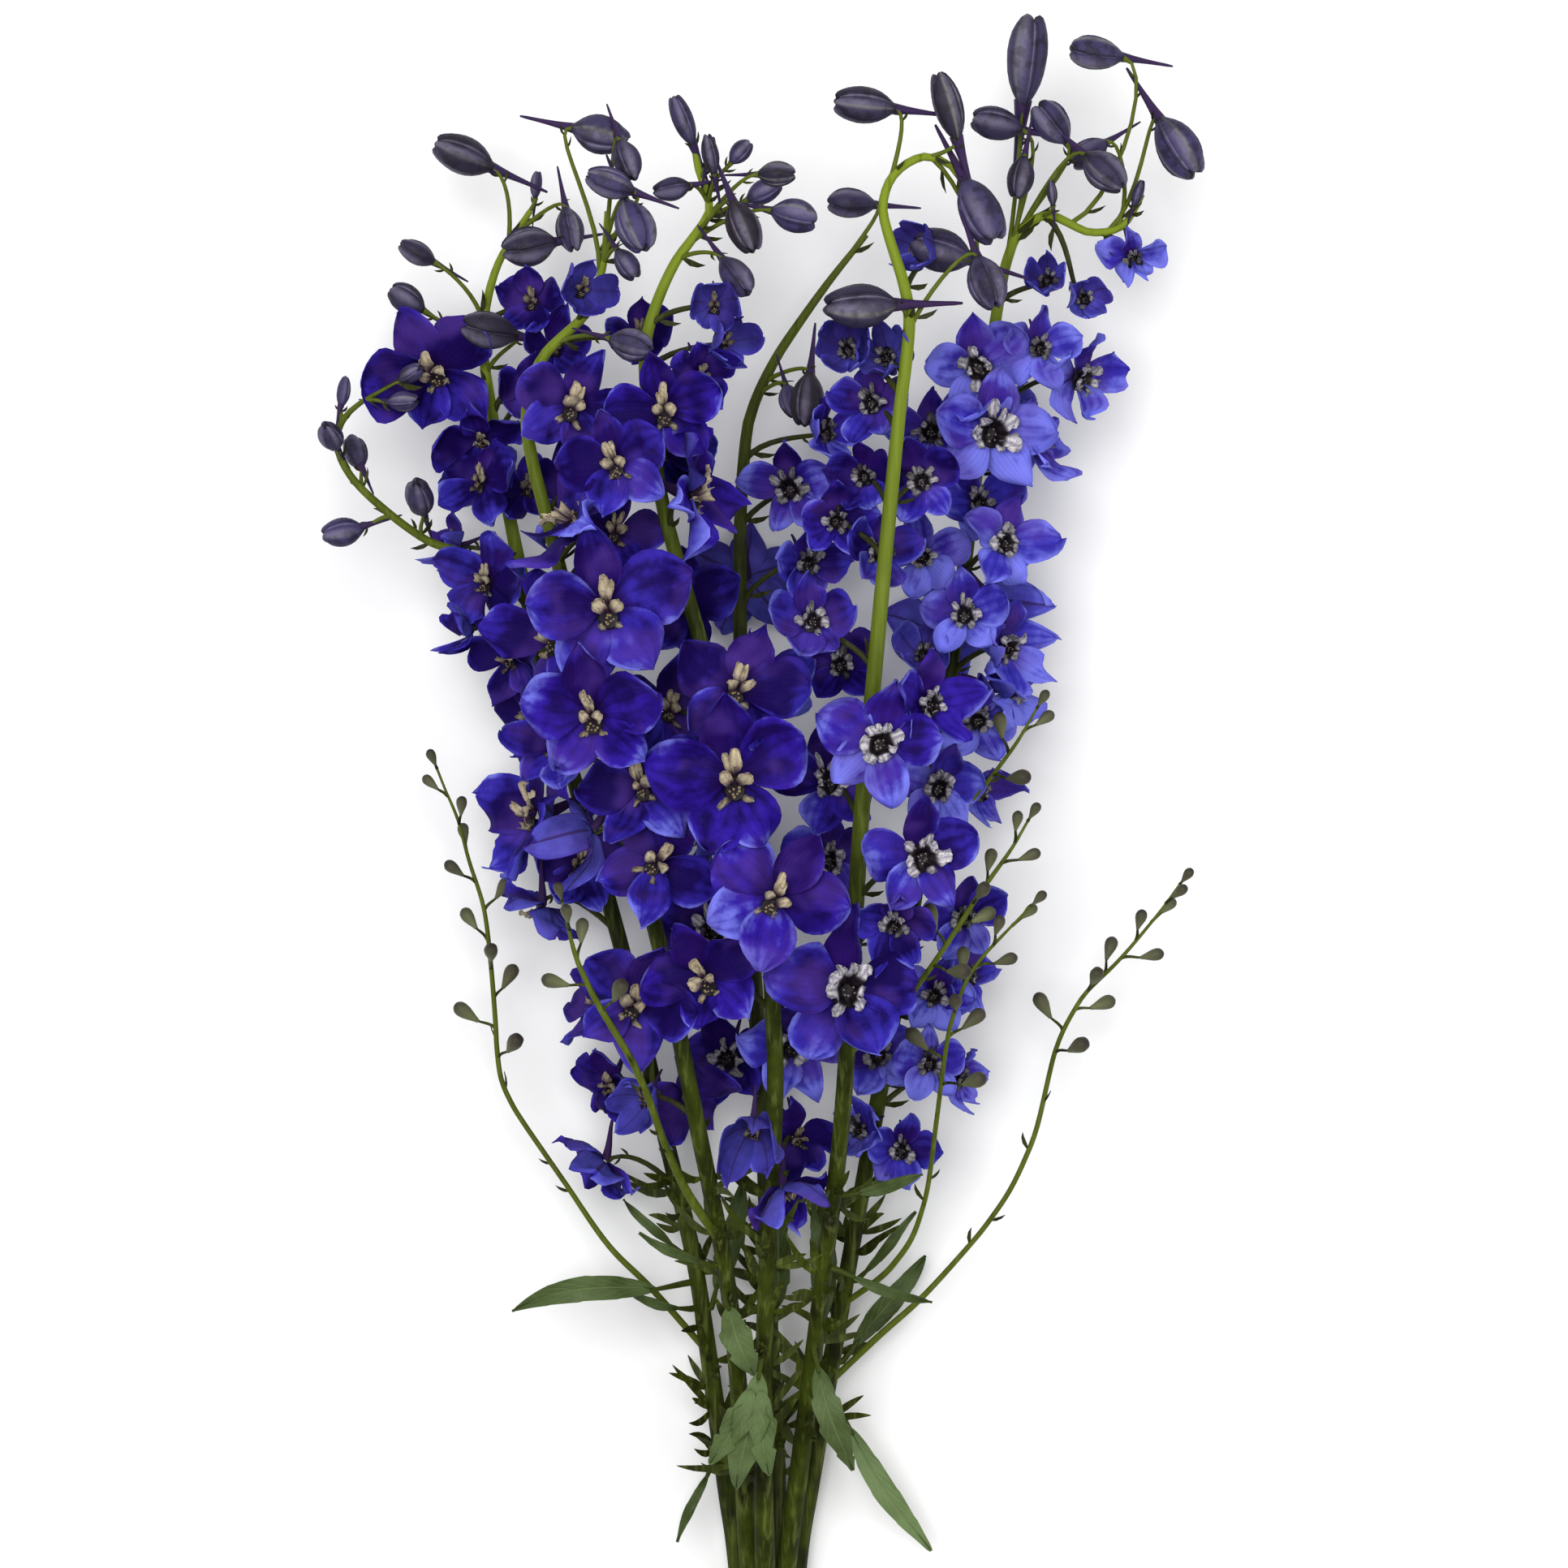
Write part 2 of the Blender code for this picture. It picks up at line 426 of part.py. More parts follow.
def back_flower(spike, line, i, turn, reach, chance):
    """Flower i of those behind the stem, which the spiral's turns keep on the far side."""
    count, start, end = spike.behind
    share = (i + 0.5) / count
    s = line.distance_at_y((start + (end - start) * share) * MM)
    point, forward = line.at(s)
    angle = BACK_START + (i * GOLDEN_ANGLE) % BACK_ARC + turn
    size = SEPAL_LENGTH * (1.04 - 0.36 * share + 0.06 * chance[0])
    length = PEDICEL_LENGTH * reach * (1.0 - 0.35 * share + 0.1 * chance[1])
    rise = forward * math.sin(PEDICEL_RISE)
    centre = point + (line.side(s, angle) * math.cos(PEDICEL_RISE) + rise) * length
    while centre.z < LOWEST_CENTRE:
        angle += math.copysign(9, angle + 90)
        centre = point + (line.side(s, angle) * math.cos(PEDICEL_RISE) + rise) * length
    facing = (line.side(s, angle) - forward * (0.16 + 0.16 * chance[2])).normalized()
    upward = (forward - facing * forward.dot(facing)).normalized()
    return Flower(spike.name, "open", point, centre, facing, upward, size, 0.25 + 0.4 * share)


def shoot_bud(shoot, line, i, rng):
    """Bud i of a side shoot, in a spiral on short thin pedicels, the last one at the tip."""
    share = i / (shoot.buds - 1)
    s = line.length * (shoot.first + (1 - shoot.first) * share * 0.985)
    point, forward = line.at(s)
    bud, pedicel = GREEN_BUD if shoot.kind == "green_bud" else VIOLET_BUD
    size = bud * (1.12 - 0.42 * share) * MM
    length = pedicel * (1.0 - 0.45 * share) * rng.uniform(0.8, 1.15) * MM
    angle = 40 + i * GOLDEN_ANGLE + rng.uniform(-14, 14)
    if i == shoot.buds - 1:
        angle, length = 90, 2 * MM
    rise = math.radians(24 + 34 * share)
    way = line.side(s, angle) * math.cos(rise) + forward * math.sin(rise)
    facing = (way + forward * 0.25 + Vector((0, 0, 0.1))).normalized()
    return Flower(
        shoot.name, shoot.kind, point, point + way * length, facing, upright(facing), size, 0.0
    )


def outline(flower):
    """Lines that stand for a flower when it is kept clear of others, each with a half width."""
    centre, size = flower.centre, flower.size
    stalk = [flower.base.lerp(centre, f) for f in (0.4, 0.6, 0.8, 0.95)]
    lines = [(stalk, PEDICEL_RADIUS)]
    if flower.kind != "open":
        bud = [centre + flower.facing * size * f for f in (-0.8, -0.3, 0.1, 0.5, 1.0)]
        return lines + [(bud, 0.38 * size)]
    across = flower.up.cross(flower.facing)
    spur = flower.up * 0.55 - flower.facing * 0.72
    lines.append(([centre + spur * size * f for f in (0.4, 0.7, 1.0)], 0.001))
    for k in range(10):
        angle = math.radians(18 + 36 * k)
        ray = flower.up * math.cos(angle) + across * math.sin(angle)
        rim = [ray * f + flower.facing * flower.cup * f * f for f in (0.1, 0.4, 0.7, 1.0)]
        lines.append(([centre + way * size for way in rim], 0.0016))
    return lines


def pierces(flower, line, gap, grow):
    """Whether a line of points passes through a flower's bowl, or within a gap of it."""
    before = None
    for point in line:
        off = point - flower.centre
        front = off.dot(flower.facing)
        radial = (off - flower.facing * front).length
        height = front - flower.cup * radial**2 / flower.size
        inside = radial < flower.size * grow
        if inside and abs(height) < gap:
            return True
        if before and (inside or before[1]) and height * before[0] < 0:
            return True
        before = (height, inside)
    return False


def near_lines(a, b):
    """Whether two lists of outlines come closer than their half widths."""
    return any(
        (p - q).length < width + other_width + CLEARANCE
        for line, width in a for p in line for other_line, other_width in b for q in other_line
    )


def clashes(flower, others, tubes, own_share):
    """Whether a flower runs into another, or into a stem. Its own spike's count by a share."""
    mine = outline(flower)
    reach = (flower.base - flower.centre).length + 1.3 * flower.size
    for other in others:
        own = other.spike == flower.spike
        if own and not own_share:
            continue
        if (other.centre - flower.centre).length > reach + 2.5 * other.size:
            continue
        grow = own_share if own else 1.0
        theirs = outline(other)
        for bowl, lines in ((flower, theirs), (other, mine)):
            if bowl.kind == "open" and any(
                pierces(bowl, line, width + PETAL_THICKNESS + CLEARANCE, grow)
                for line, width in lines
            ):
                return True
        if not own and near_lines(mine[:2], theirs[:2]):
            return True
    for owner, points, radius in tubes:
        near = [p for p in points if (p - flower.centre).length < reach + 0.01]
        if owner == flower.spike or not near:
            continue
        if flower.kind == "open" and pierces(flower, near, radius + 0.002, 1.0):
            return True
        if near_lines(mine[:2], [(near, radius + 0.001)]):
            return True
    return False


def plan():
    """The lines of the stems and shoots, and every flower and bud in its place."""
    lines = {s.name: Line(smooth(s.path), STEM_RADIUS, TIP_RADIUS) for s in SPIKES}
    for shoot in SHOOTS:
        lines[shoot.name] = shoot_line(shoot, lines)
    tubes = [
        (name, [line.at(s)[0] for s in line.samples()], line.radius(line.length / 2))
        for name, line in lines.items()
    ]
    rng = random.Random(8)
    flowers = [
        shoot_bud(shoot, lines[shoot.name], i, rng) for shoot in SHOOTS for i in range(shoot.buds)
    ]
    for spike in SPIKES:
        line = lines[spike.name]
        for place, rows in ((front_flower, spike.open), (front_bud, spike.buds)):
            for row in rows:
                tries = (place(spike, line, row, shift, scale) for shift, scale in SHIFTS)
                flowers += [f for f in tries if not clashes(f, flowers, tubes, 0.0)][:1]
    for spike in SPIKES:
        for i in range(spike.behind[0]):
            chance = [rng.uniform(-1, 1) for _ in range(3)]
            tries = (back_flower(spike, lines[spike.name], i, *t, chance) for t in TURNS)
            flowers += [f for f in tries if not clashes(f, flowers, tubes, OWN_SHARE)][:1]
    return lines, flowers


def above_floor(point):
    """Petals that would pass through the surface are pressed up along it instead."""
    reach = 8 * FLOOR_SOFTNESS
    if point.z > reach:
        return point
    risen, least = (
        FLOOR_SOFTNESS * math.log1p(math.exp(z / FLOOR_SOFTNESS)) for z in (point.z, PRESSED_FLAT)
    )
    sunk = least * min(1.0, 1 - point.z / reach)
    return Vector((point.x, point.y, max(risen - sunk, 0.0)))


# The solids.

def material(name, colour, roughness):
    made = bpy.data.materials.new(name)
    made.use_nodes = True
    shader = made.node_tree.nodes["Principled BSDF"]
    shader.inputs["Base Color"].default_value = (*colour, 1)
    shader.inputs["Roughness"].default_value = roughness
    shader.inputs["Metallic"].default_value = 0
    return made


def mesh_object(name, bm, collection):
    """A new object from a closed mesh, with its faces turned outwards."""
    bmesh.ops.recalc_face_normals(bm, faces=bm.faces)
    if bm.calc_volume(signed=True) < 0:
        bmesh.ops.reverse_faces(bm, faces=bm.faces)
    mesh = bpy.data.meshes.new(name)
    bm.to_mesh(mesh)
    bm.free()
    made = bpy.data.objects.new(name, mesh)
    collection.objects.link(made)
    return made


def stem_mesh(name, line, sides, collection):
    """A tapering stem with flat sides, which lies on one of them at its cut end."""
    curve = bpy.data.curves.new(name, "CURVE")
    curve.dimensions = "3D"
    curve.twist_mode = "Z_UP"
    curve.bevel_depth = 1.0
    curve.bevel_resolution = (sides - 4) // 2
    curve.use_fill_caps = True
    spline = curve.splines.new("POLY")
    spline.points.add(len(line.points) - 1)
    for slot, point, s in zip(spline.points, line.points, line.along):
        slot.co = (*point, 1)
        slot.radius = line.radius(s)
    guide = bpy.data.objects.new(name, curve)
    collection.objects.link(guide)
    bpy.context.view_layer.update()
    graph = bpy.context.evaluated_depsgraph_get()
    mesh = bpy.data.meshes.new_from_object(guide.evaluated_get(graph))
    bpy.data.objects.remove(guide)
    bm = bmesh.new()
    bm.from_mesh(mesh)
    bpy.data.meshes.remove(mesh)
    bmesh.ops.remove_doubles(bm, verts=bm.verts, dist=1e-5)
    for vertex in bm.verts:
        if vertex.co.z < 0.0006:
            vertex.co.z = 0.0
    return mesh_object(name, bm, collection)


def frame_of(flower):
    """Local X across the flower, Y to its upper sepal and Z out of its face."""
    across = flower.up.cross(flower.facing)
    turned = Matrix((across, flower.up, flower.facing)).transposed().to_4x4()
    return Matrix.Translation(flower.centre) @ turned


# Sepals, from the upper one round, and the notches before each: directions, and shares of the
# flower's radius.
SEPAL_ANGLES = (90, 166, 240, 300, 14)
NOTCH_ANGLES = (52, 128, 203, 270, 337)
SEPAL_REACH = (1.0, 1.0, 0.98, 0.98, 1.0)
SEPAL_HALF = (0.29, 0.41, 0.31, 0.31, 0.41)
WIDEST = 0.6


def open_flower_mesh(name, flower, collection):
    """Five sepals round a raised middle, with the spur behind, as one closed star."""
    bm = bmesh.new()

    def around(angle, along, aside, lift):
        c, s = math.cos(math.radians(angle)), math.sin(math.radians(angle))
        return bm.verts.new((along * c - aside * s, along * s + aside * c, lift))

    front = [around(a, 0.2, 0, 0.06) for a in NOTCH_ANGLES]
    back = [around(a, 0.2, 0, -0.07) for a in NOTCH_ANGLES]
    bee = bm.verts.new((0, 0.02, 0.26))
    spur = bm.verts.new((0, 0.55, -0.72))
    for i, (angle, reach, half) in enumerate(zip(SEPAL_ANGLES, SEPAL_REACH, SEPAL_HALF)):
        j = (i + 1) % 5
        side, tip, other_side = (
            around(angle, u * reach, v, flower.cup * u * u)
            for u, v in ((WIDEST, -half), (1.0, 0.0), (WIDEST, half))
        )
        bm.faces.new((front[i], side, tip))
        bm.faces.new((front[i], tip, front[j]))
        bm.faces.new((front[j], tip, other_side))
        bm.faces.new((back[i], tip, side))
        bm.faces.new((back[i], back[j], tip))
        bm.faces.new((back[j], other_side, tip))
        bm.faces.new((front[i], back[i], side))
        bm.faces.new((front[j], other_side, back[j]))
        bm.faces.new((bee, front[i], front[j]))
        bm.faces.new((spur, back[j], back[i]))
    bm.transform(frame_of(flower) @ Matrix.Scale(flower.size, 4))
    for vertex in bm.verts:
        vertex.co = above_floor(vertex.co)
    return mesh_object(name, bm, collection)


def sphere_ring(vertex, rings):
    """Which ring of a unit sphere a vertex is on, counted up from its lower pole."""
    return round((1 - math.acos(max(-1.0, min(1.0, vertex.co.z))) / math.pi) * rings)


BUD_RINGS = ((-1.05, 0.0), (-0.08, 0.13), (0.5, 0.36), (1.0, 0.0))
SLIM_BUD = 0.62
UPRIGHT = 0.85


def bud_mesh(name, flower, collection):
    """A closed bud with its spur, slim if it stands upright: a ball moved to its profile."""
    bm = bmesh.new()
    bmesh.ops.create_uvsphere(bm, u_segments=5, v_segments=3, radius=1)
    wide = SLIM_BUD if flower.facing.y > UPRIGHT else 1.0
    for vertex in bm.verts:
        height, radius = BUD_RINGS[sphere_ring(vertex, 3)]
        flat = Vector((vertex.co.x, vertex.co.y, 0))
        flat = flat.normalized() * radius * wide if radius else Vector()
        vertex.co = flat + Vector((0, 0.12 if height < -0.1 else 0, height))
    bm.transform(frame_of(flower) @ Matrix.Scale(flower.size, 4))
    for vertex in bm.verts:
        vertex.co = above_floor(vertex.co)
    return mesh_object(name, bm, collection)


def green_bud_mesh(name, flower, collection):
    """A small bud and its thread of a pedicel: a ball drawn out along the two."""
    way = (flower.centre - flower.base).normalized()
    reach = (flower.centre - flower.base).length
    bend = (way + flower.facing).normalized()
    size = flower.size
    rings = (
        (flower.base, way, 0.0), (flower.base + way * 0.1 * reach, way, 0.0006),
        (flower.centre, bend, 0.1 * size),
        (flower.centre + flower.facing * 0.55 * size, bend, 0.26 * size),
        (flower.centre + flower.facing * size, bend, 0.0),
    )
    bm = bmesh.new()
    bmesh.ops.create_uvsphere(bm, u_segments=3, v_segments=4, radius=1)
    for vertex in bm.verts:
        middle, along, radius = rings[sphere_ring(vertex, 4)]
        across = along.cross(flower.up).normalized()
        flat = Vector((vertex.co.x, vertex.co.y))
        flat = flat.normalized() * radius if radius else flat * 0
        vertex.co = middle + across * flat.x + along.cross(across) * flat.y
    return mesh_object(name, bm, collection)


def pedicel_mesh(name, flower, collection):
    """A slim three-sided stalk, sunk into its stem and into its flower."""
    sunk = 0.03 if flower.kind == "open" else 0.12
    foot = above_floor(flower.base)
    tip = above_floor(flower.centre + flower.facing * sunk * flower.size)
    way = tip - foot
    bm = bmesh.new()
    bmesh.ops.create_cone(
        bm, cap_ends=True, segments=3, radius1=PEDICEL_RADIUS * 1.25, radius2=PEDICEL_RADIUS,
        depth=way.length,
    )
    turned = way.to_track_quat("Z", "Y").to_matrix().to_4x4()
    bm.transform(Matrix.Translation((foot + tip) / 2) @ turned)
    return mesh_object(name, bm, collection)


def joined(body, pieces):
    """Body and pieces as one solid, by one union on the pieces' collection."""
    union = body.modifiers.new("union", "BOOLEAN")
    union.operation = "UNION"
    union.operand_type = "COLLECTION"
    union.collection = pieces
    union.solver = "EXACT"
    bpy.context.view_layer.update()
    graph = bpy.context.evaluated_depsgraph_get()
    mesh = bpy.data.meshes.new_from_object(body.evaluated_get(graph))
    body.modifiers.clear()
    body.data = mesh
    for piece in list(pieces.objects):
        bpy.data.objects.remove(piece)
    bpy.data.collections.remove(pieces)
    return body


def pieces_for(name):
    pieces = bpy.data.collections.new(name + "_pieces")
    bpy.context.scene.collection.children.link(pieces)
    return pieces


def stem_with_flowers(name, line, sides, flowers, collection):
    """A stem or shoot with every flower and bud that it carries, as one solid."""
    body = stem_mesh(name, line, sides, collection)
    pieces = pieces_for(name)
    for i, flower in enumerate(flowers):
        if flower.kind == "green_bud":
            green_bud_mesh(f"{name}_bud_{i}", flower, pieces)
        else:
            make = open_flower_mesh if flower.kind == "open" else bud_mesh
            make(f"{name}_flower_{i}", flower, pieces)
            pedicel_mesh(f"{name}_pedicel_{i}", flower, pieces)
    return joined(body, pieces)


BLADE_RINGS = 7
PETIOLE_SHARE = 0.2
RING_SHARES = (0, 0.03, PETIOLE_SHARE, 0.38, 0.54, 0.7, 0.85, 1)
TOOTH = 0.68
BLADE_THICKNESS = 0.0016
STALK_RADIUS = 0.0009


def blade_mesh(name, foot, reach, arch, width, collection):
    """One lobe of a leaf: a ball drawn out along an arched rib, thin, with toothed edges."""
    across = reach.cross(Vector((0, 0, 1))).normalized()
    bm = bmesh.new()
    bmesh.ops.create_uvsphere(bm, u_segments=4, v_segments=BLADE_RINGS, radius=1)
    for vertex in bm.verts:
        ring = sphere_ring(vertex, BLADE_RINGS)
        t = RING_SHARES[ring]
        rib = foot + reach * t + Vector((0, 0, 1)) * arch * 4 * t * (1 - t)
        blade = max(t - PETIOLE_SHARE, 0) / (1 - PETIOLE_SHARE)
        half = 0.5 * width * math.sin(math.pi * blade) ** 0.6 * (TOOTH if ring % 2 == 0 else 1.0)
        half = max(half, STALK_RADIUS)
        if ring in (0, BLADE_RINGS):
            vertex.co = rib
        elif abs(vertex.co.x) > abs(vertex.co.y):
            vertex.co = rib + across * math.copysign(half, vertex.co.x)
        else:
            vertex.co = rib + Vector((0, 0, math.copysign(BLADE_THICKNESS / 2, vertex.co.y)))
    return mesh_object(name, bm, collection)


def leaf_with_lobes(leaf, line, collection):
    """A leaf: its middle lobe with the stalk, and side lobes that spread from the stalk's end."""
    s = line.distance_at_y(leaf.foot_y * MM)
    out = line.side(s, leaf.foot_side)
    foot = line.at(s)[0] + out * (line.radius(s) + SEAT_GAP)
    reach, arch, width = Vector(leaf.tip) * MM, leaf.arch * MM, leaf.width * MM
    body = blade_mesh(leaf.name, foot, reach, arch, width, collection)
    if len(leaf.lobes) == 1:
        return body
    pieces = pieces_for(leaf.name)
    t = PETIOLE_SHARE * 0.8
    fork = foot + reach * t + Vector((0, 0, arch * 4 * t * (1 - t)))
    for angle in leaf.lobes[1:]:
        spread = Matrix.Rotation(math.radians(angle), 3, "Z") @ reach * 0.72
        blade_mesh(f"{leaf.name}_lobe_{angle}", fork, spread, arch * 0.5, width * 0.8, pieces)
    return joined(body, pieces)


TIE_CORNER_STEPS = 5


def tie_band(collection):
    """The band round the stacked stems: arcs round the three corner stems, and its thickness."""
    radius = STEM_RADIUS + SEAT_GAP
    corners = (
        (STEM_PITCH * MM, TIE_LOW * MM, -90), (0, (TIE_LOW + 2 * STACK_RISE) * MM, 30),
        (-STEM_PITCH * MM, TIE_LOW * MM, 150),
    )
    bm = bmesh.new()
    rims = []
    for x, z, start in corners:
        for k in range(TIE_CORNER_STEPS):
            angle = math.radians(start + 120 * k / (TIE_CORNER_STEPS - 1))
            place = Vector((x + radius * math.cos(angle), 0, z + radius * math.sin(angle)))
            edges = (TIE_Y * MM - TIE_WIDTH / 2, TIE_Y * MM + TIE_WIDTH / 2)
            rims.append([bm.verts.new(place + Vector((0, y, 0))) for y in edges])
    for (a, b), (c, d) in zip(rims, rims[1:] + rims[:1]):
        bm.faces.new((a, c, d, b))
    made = mesh_object("tie_band", bm, collection)
    shell = made.modifiers.new("thickness", "SOLIDIFY")
    shell.thickness = TIE_THICKNESS
    shell.offset = 1
    shell.use_even_offset = True
    return made


def main():
    for old in list(bpy.data.objects):
        bpy.data.objects.remove(old)
    collection = bpy.data.collections.new("delphinium_bunch")
    bpy.context.scene.collection.children.link(collection)
    blue = material("sepal_blue", (0.035, 0.03, 0.62), 0.5)
    green = material("stem_green", (0.13, 0.2, 0.03), 0.5)
    leafy = material("leaf_green", (0.09, 0.14, 0.05), 0.6)
    rubber = material("band_tan", (0.5, 0.33, 0.16), 0.7)
    lines, flowers = plan()
    made = []
    for rows, sides, paint in ((SPIKES, 6, blue), (SHOOTS, 4, green)):
        for row in rows:
            own = [f for f in flowers if f.spike == row.name]
            grown = stem_with_flowers(row.name, lines[row.name], sides, own, collection)
            made.append((grown, paint))
    for leaf in LEAVES:
        made.append((leaf_with_lobes(leaf, lines[leaf.parent], collection), leafy))
    made.append((tie_band(collection), rubber))
    for solid, paint in made:
        solid.data.materials.clear()
        solid.data.materials.append(paint)


main()
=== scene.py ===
"""The looks of a tied bunch of six cut delphinium spikes, lying on a pale floor.

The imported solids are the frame. The tables and the plan below are the ones that the solids were
made from, so each finer flower, bud, stem and leaf takes its solid's place. Metres, +Z up; the
tables of places are in millimetres, and a flower's own shape is in shares of its radius.
"""

import json
import math
import random
from collections import namedtuple

import bmesh
import bpy
from mathutils import Matrix, Vector, noise

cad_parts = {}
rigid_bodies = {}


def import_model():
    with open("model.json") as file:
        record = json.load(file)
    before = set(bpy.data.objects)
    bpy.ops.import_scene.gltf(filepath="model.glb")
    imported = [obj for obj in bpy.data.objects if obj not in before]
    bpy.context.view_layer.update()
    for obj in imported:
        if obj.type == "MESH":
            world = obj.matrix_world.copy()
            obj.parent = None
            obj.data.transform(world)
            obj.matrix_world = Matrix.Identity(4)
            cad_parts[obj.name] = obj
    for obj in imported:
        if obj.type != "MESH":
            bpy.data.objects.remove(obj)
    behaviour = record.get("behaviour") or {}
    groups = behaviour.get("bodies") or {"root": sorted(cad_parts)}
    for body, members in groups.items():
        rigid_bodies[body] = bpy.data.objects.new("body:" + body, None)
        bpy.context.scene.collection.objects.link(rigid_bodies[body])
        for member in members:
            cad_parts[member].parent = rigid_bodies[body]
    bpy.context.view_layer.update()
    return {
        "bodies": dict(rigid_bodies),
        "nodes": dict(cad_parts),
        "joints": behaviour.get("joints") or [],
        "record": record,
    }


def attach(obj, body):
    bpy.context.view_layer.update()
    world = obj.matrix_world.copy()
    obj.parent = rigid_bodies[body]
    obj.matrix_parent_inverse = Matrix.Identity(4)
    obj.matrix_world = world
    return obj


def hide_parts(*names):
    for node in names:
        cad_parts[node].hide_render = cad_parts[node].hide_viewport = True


MM = 0.001

# Driving sizes of the plant. A stem loses a share of its radius above the tie, and tapers at
# last. A shoot stands a small gap off its stem, and leaves it straight for some millimetres.
STEM_RADIUS = 0.0041
TIP_RADIUS = 0.0014
TAPER_POWER = 5
ABOVE_TIE_SLIMMING = 0.22
SLIM_FROM = 0.12
SLIM_OVER = 0.2
SHOOT_TIP_RADIUS = 0.0005
SEPAL_LENGTH = 0.0255
PEDICEL_LENGTH = 0.027
PEDICEL_RADIUS = 0.0009
SEAT_GAP = 0.00035
SHOOT_START = 3

# Where the bunch is tied, and how its stems stack there: three below, then two, then one.
TIE_Y = 55
STEM_PITCH = 8.7
STACK_RISE = STEM_PITCH * math.sin(math.radians(60))
TIE_LOW = 6.6
TIE_STRAIGHT = 7
CUT_LOW = 3.45

# Where a line gets one more point, and how closely it is read: for a height, for its nearest
# point, and to keep flowers off it.
SHARP_BEND = math.radians(16)
STEP_ALONG_Y = 0.001
STEP_NEAREST = 0.003
STEP_CLEAR = 0.006
ALMOST = 1e-9

# How flowers stand on their stem, and what they keep clear of.
PLAN_SEED = 8
GOLDEN_ANGLE = 137.5
UPWARD = 0.1
STRAIGHT_UP = 90
STRAIGHT_DOWN = -90
PEDICEL_RISE = math.radians(48)
FOOT_DROP = 0.65
LOWEST_CENTRE = 0.012
FLOOR_SOFTNESS = 0.005
SOFT_REACH = 8
PRESSED_FLAT = -0.006
PETAL_THICKNESS = 0.0012
CLEARANCE = 0.0012
OWN_SHARE = 0.62
FLOWER_REACH = 1.3
OTHER_REACH = 2.5
STEM_REACH = 0.01
PETAL_OFF_STEM = 0.002
STALK_OFF_STEM = 0.001

# Flowers behind a stem: the angles that they keep to, and measures as their value at the lowest
# flower, the change up to the highest one, and how far chance takes them.
BACK_START = -165
BACK_ARC = 150
TURN_OFF_FLOOR = 9
BACK_SIZE = (1.04, -0.36, 0.06)
BACK_REACH = (1.0, -0.35, 0.1)
BACK_DROOP = (0.16, 0.0, 0.16)
BACK_CUP = (0.25, 0.4, 0.0)

# Buds of the side shoots: length and pedicel in millimetres, measures as for the flowers, and
# angles in degrees.
GREEN_BUD = (9.6, 9.5)
VIOLET_BUD = (14.0, 13.5)
SHOOT_BUD_SIZE = (1.12, -0.42, 0.0)
SHOOT_PEDICEL = (1.0, -0.45, 0.0)
SHOOT_PEDICEL_CHANCE = (0.8, 1.15)
SHOOT_RISE = (24, 34, 0)
SHOOT_TURN = 40
SHOOT_STRAY = 14
SHOOT_FORWARD = 0.25
TIP_PEDICEL = 2
LAST_BUD = 0.985

# The lines that stand for a flower: where their points are, their half widths, the spur's way,
# and the rays of the sepals.
STALK_POINTS = (0.4, 0.6, 0.8, 0.95)
BUD_POINTS = (-0.8, -0.3, 0.1, 0.5, 1.0)
SPUR_POINTS = (0.4, 0.7, 1.0)
RAY_POINTS = (0.1, 0.4, 0.7, 1.0)
BUD_HALF = 0.38
SPUR_WAY = (0.55, -0.72)
SPUR_HALF = 0.001
RAYS = 10
RAY_HALF = 0.0016

Spike = namedtuple("Spike", "name path open buds behind")
Shoot = namedtuple("Shoot", "name parent foot_y foot_side path buds first kind radius")
Leaf = namedtuple("Leaf", "name parent foot_y foot_side tip arch lobes width")
Flower = namedtuple("Flower", "spike kind base centre facing up size cup")


def tied(x, row):
    """A stem's straight stretch through the tie, in one of the rows of the stack."""
    z = TIE_LOW + row * STACK_RISE
    return [(x, TIE_Y - TIE_STRAIGHT, z), (x, TIE_Y + TIE_STRAIGHT, z)]


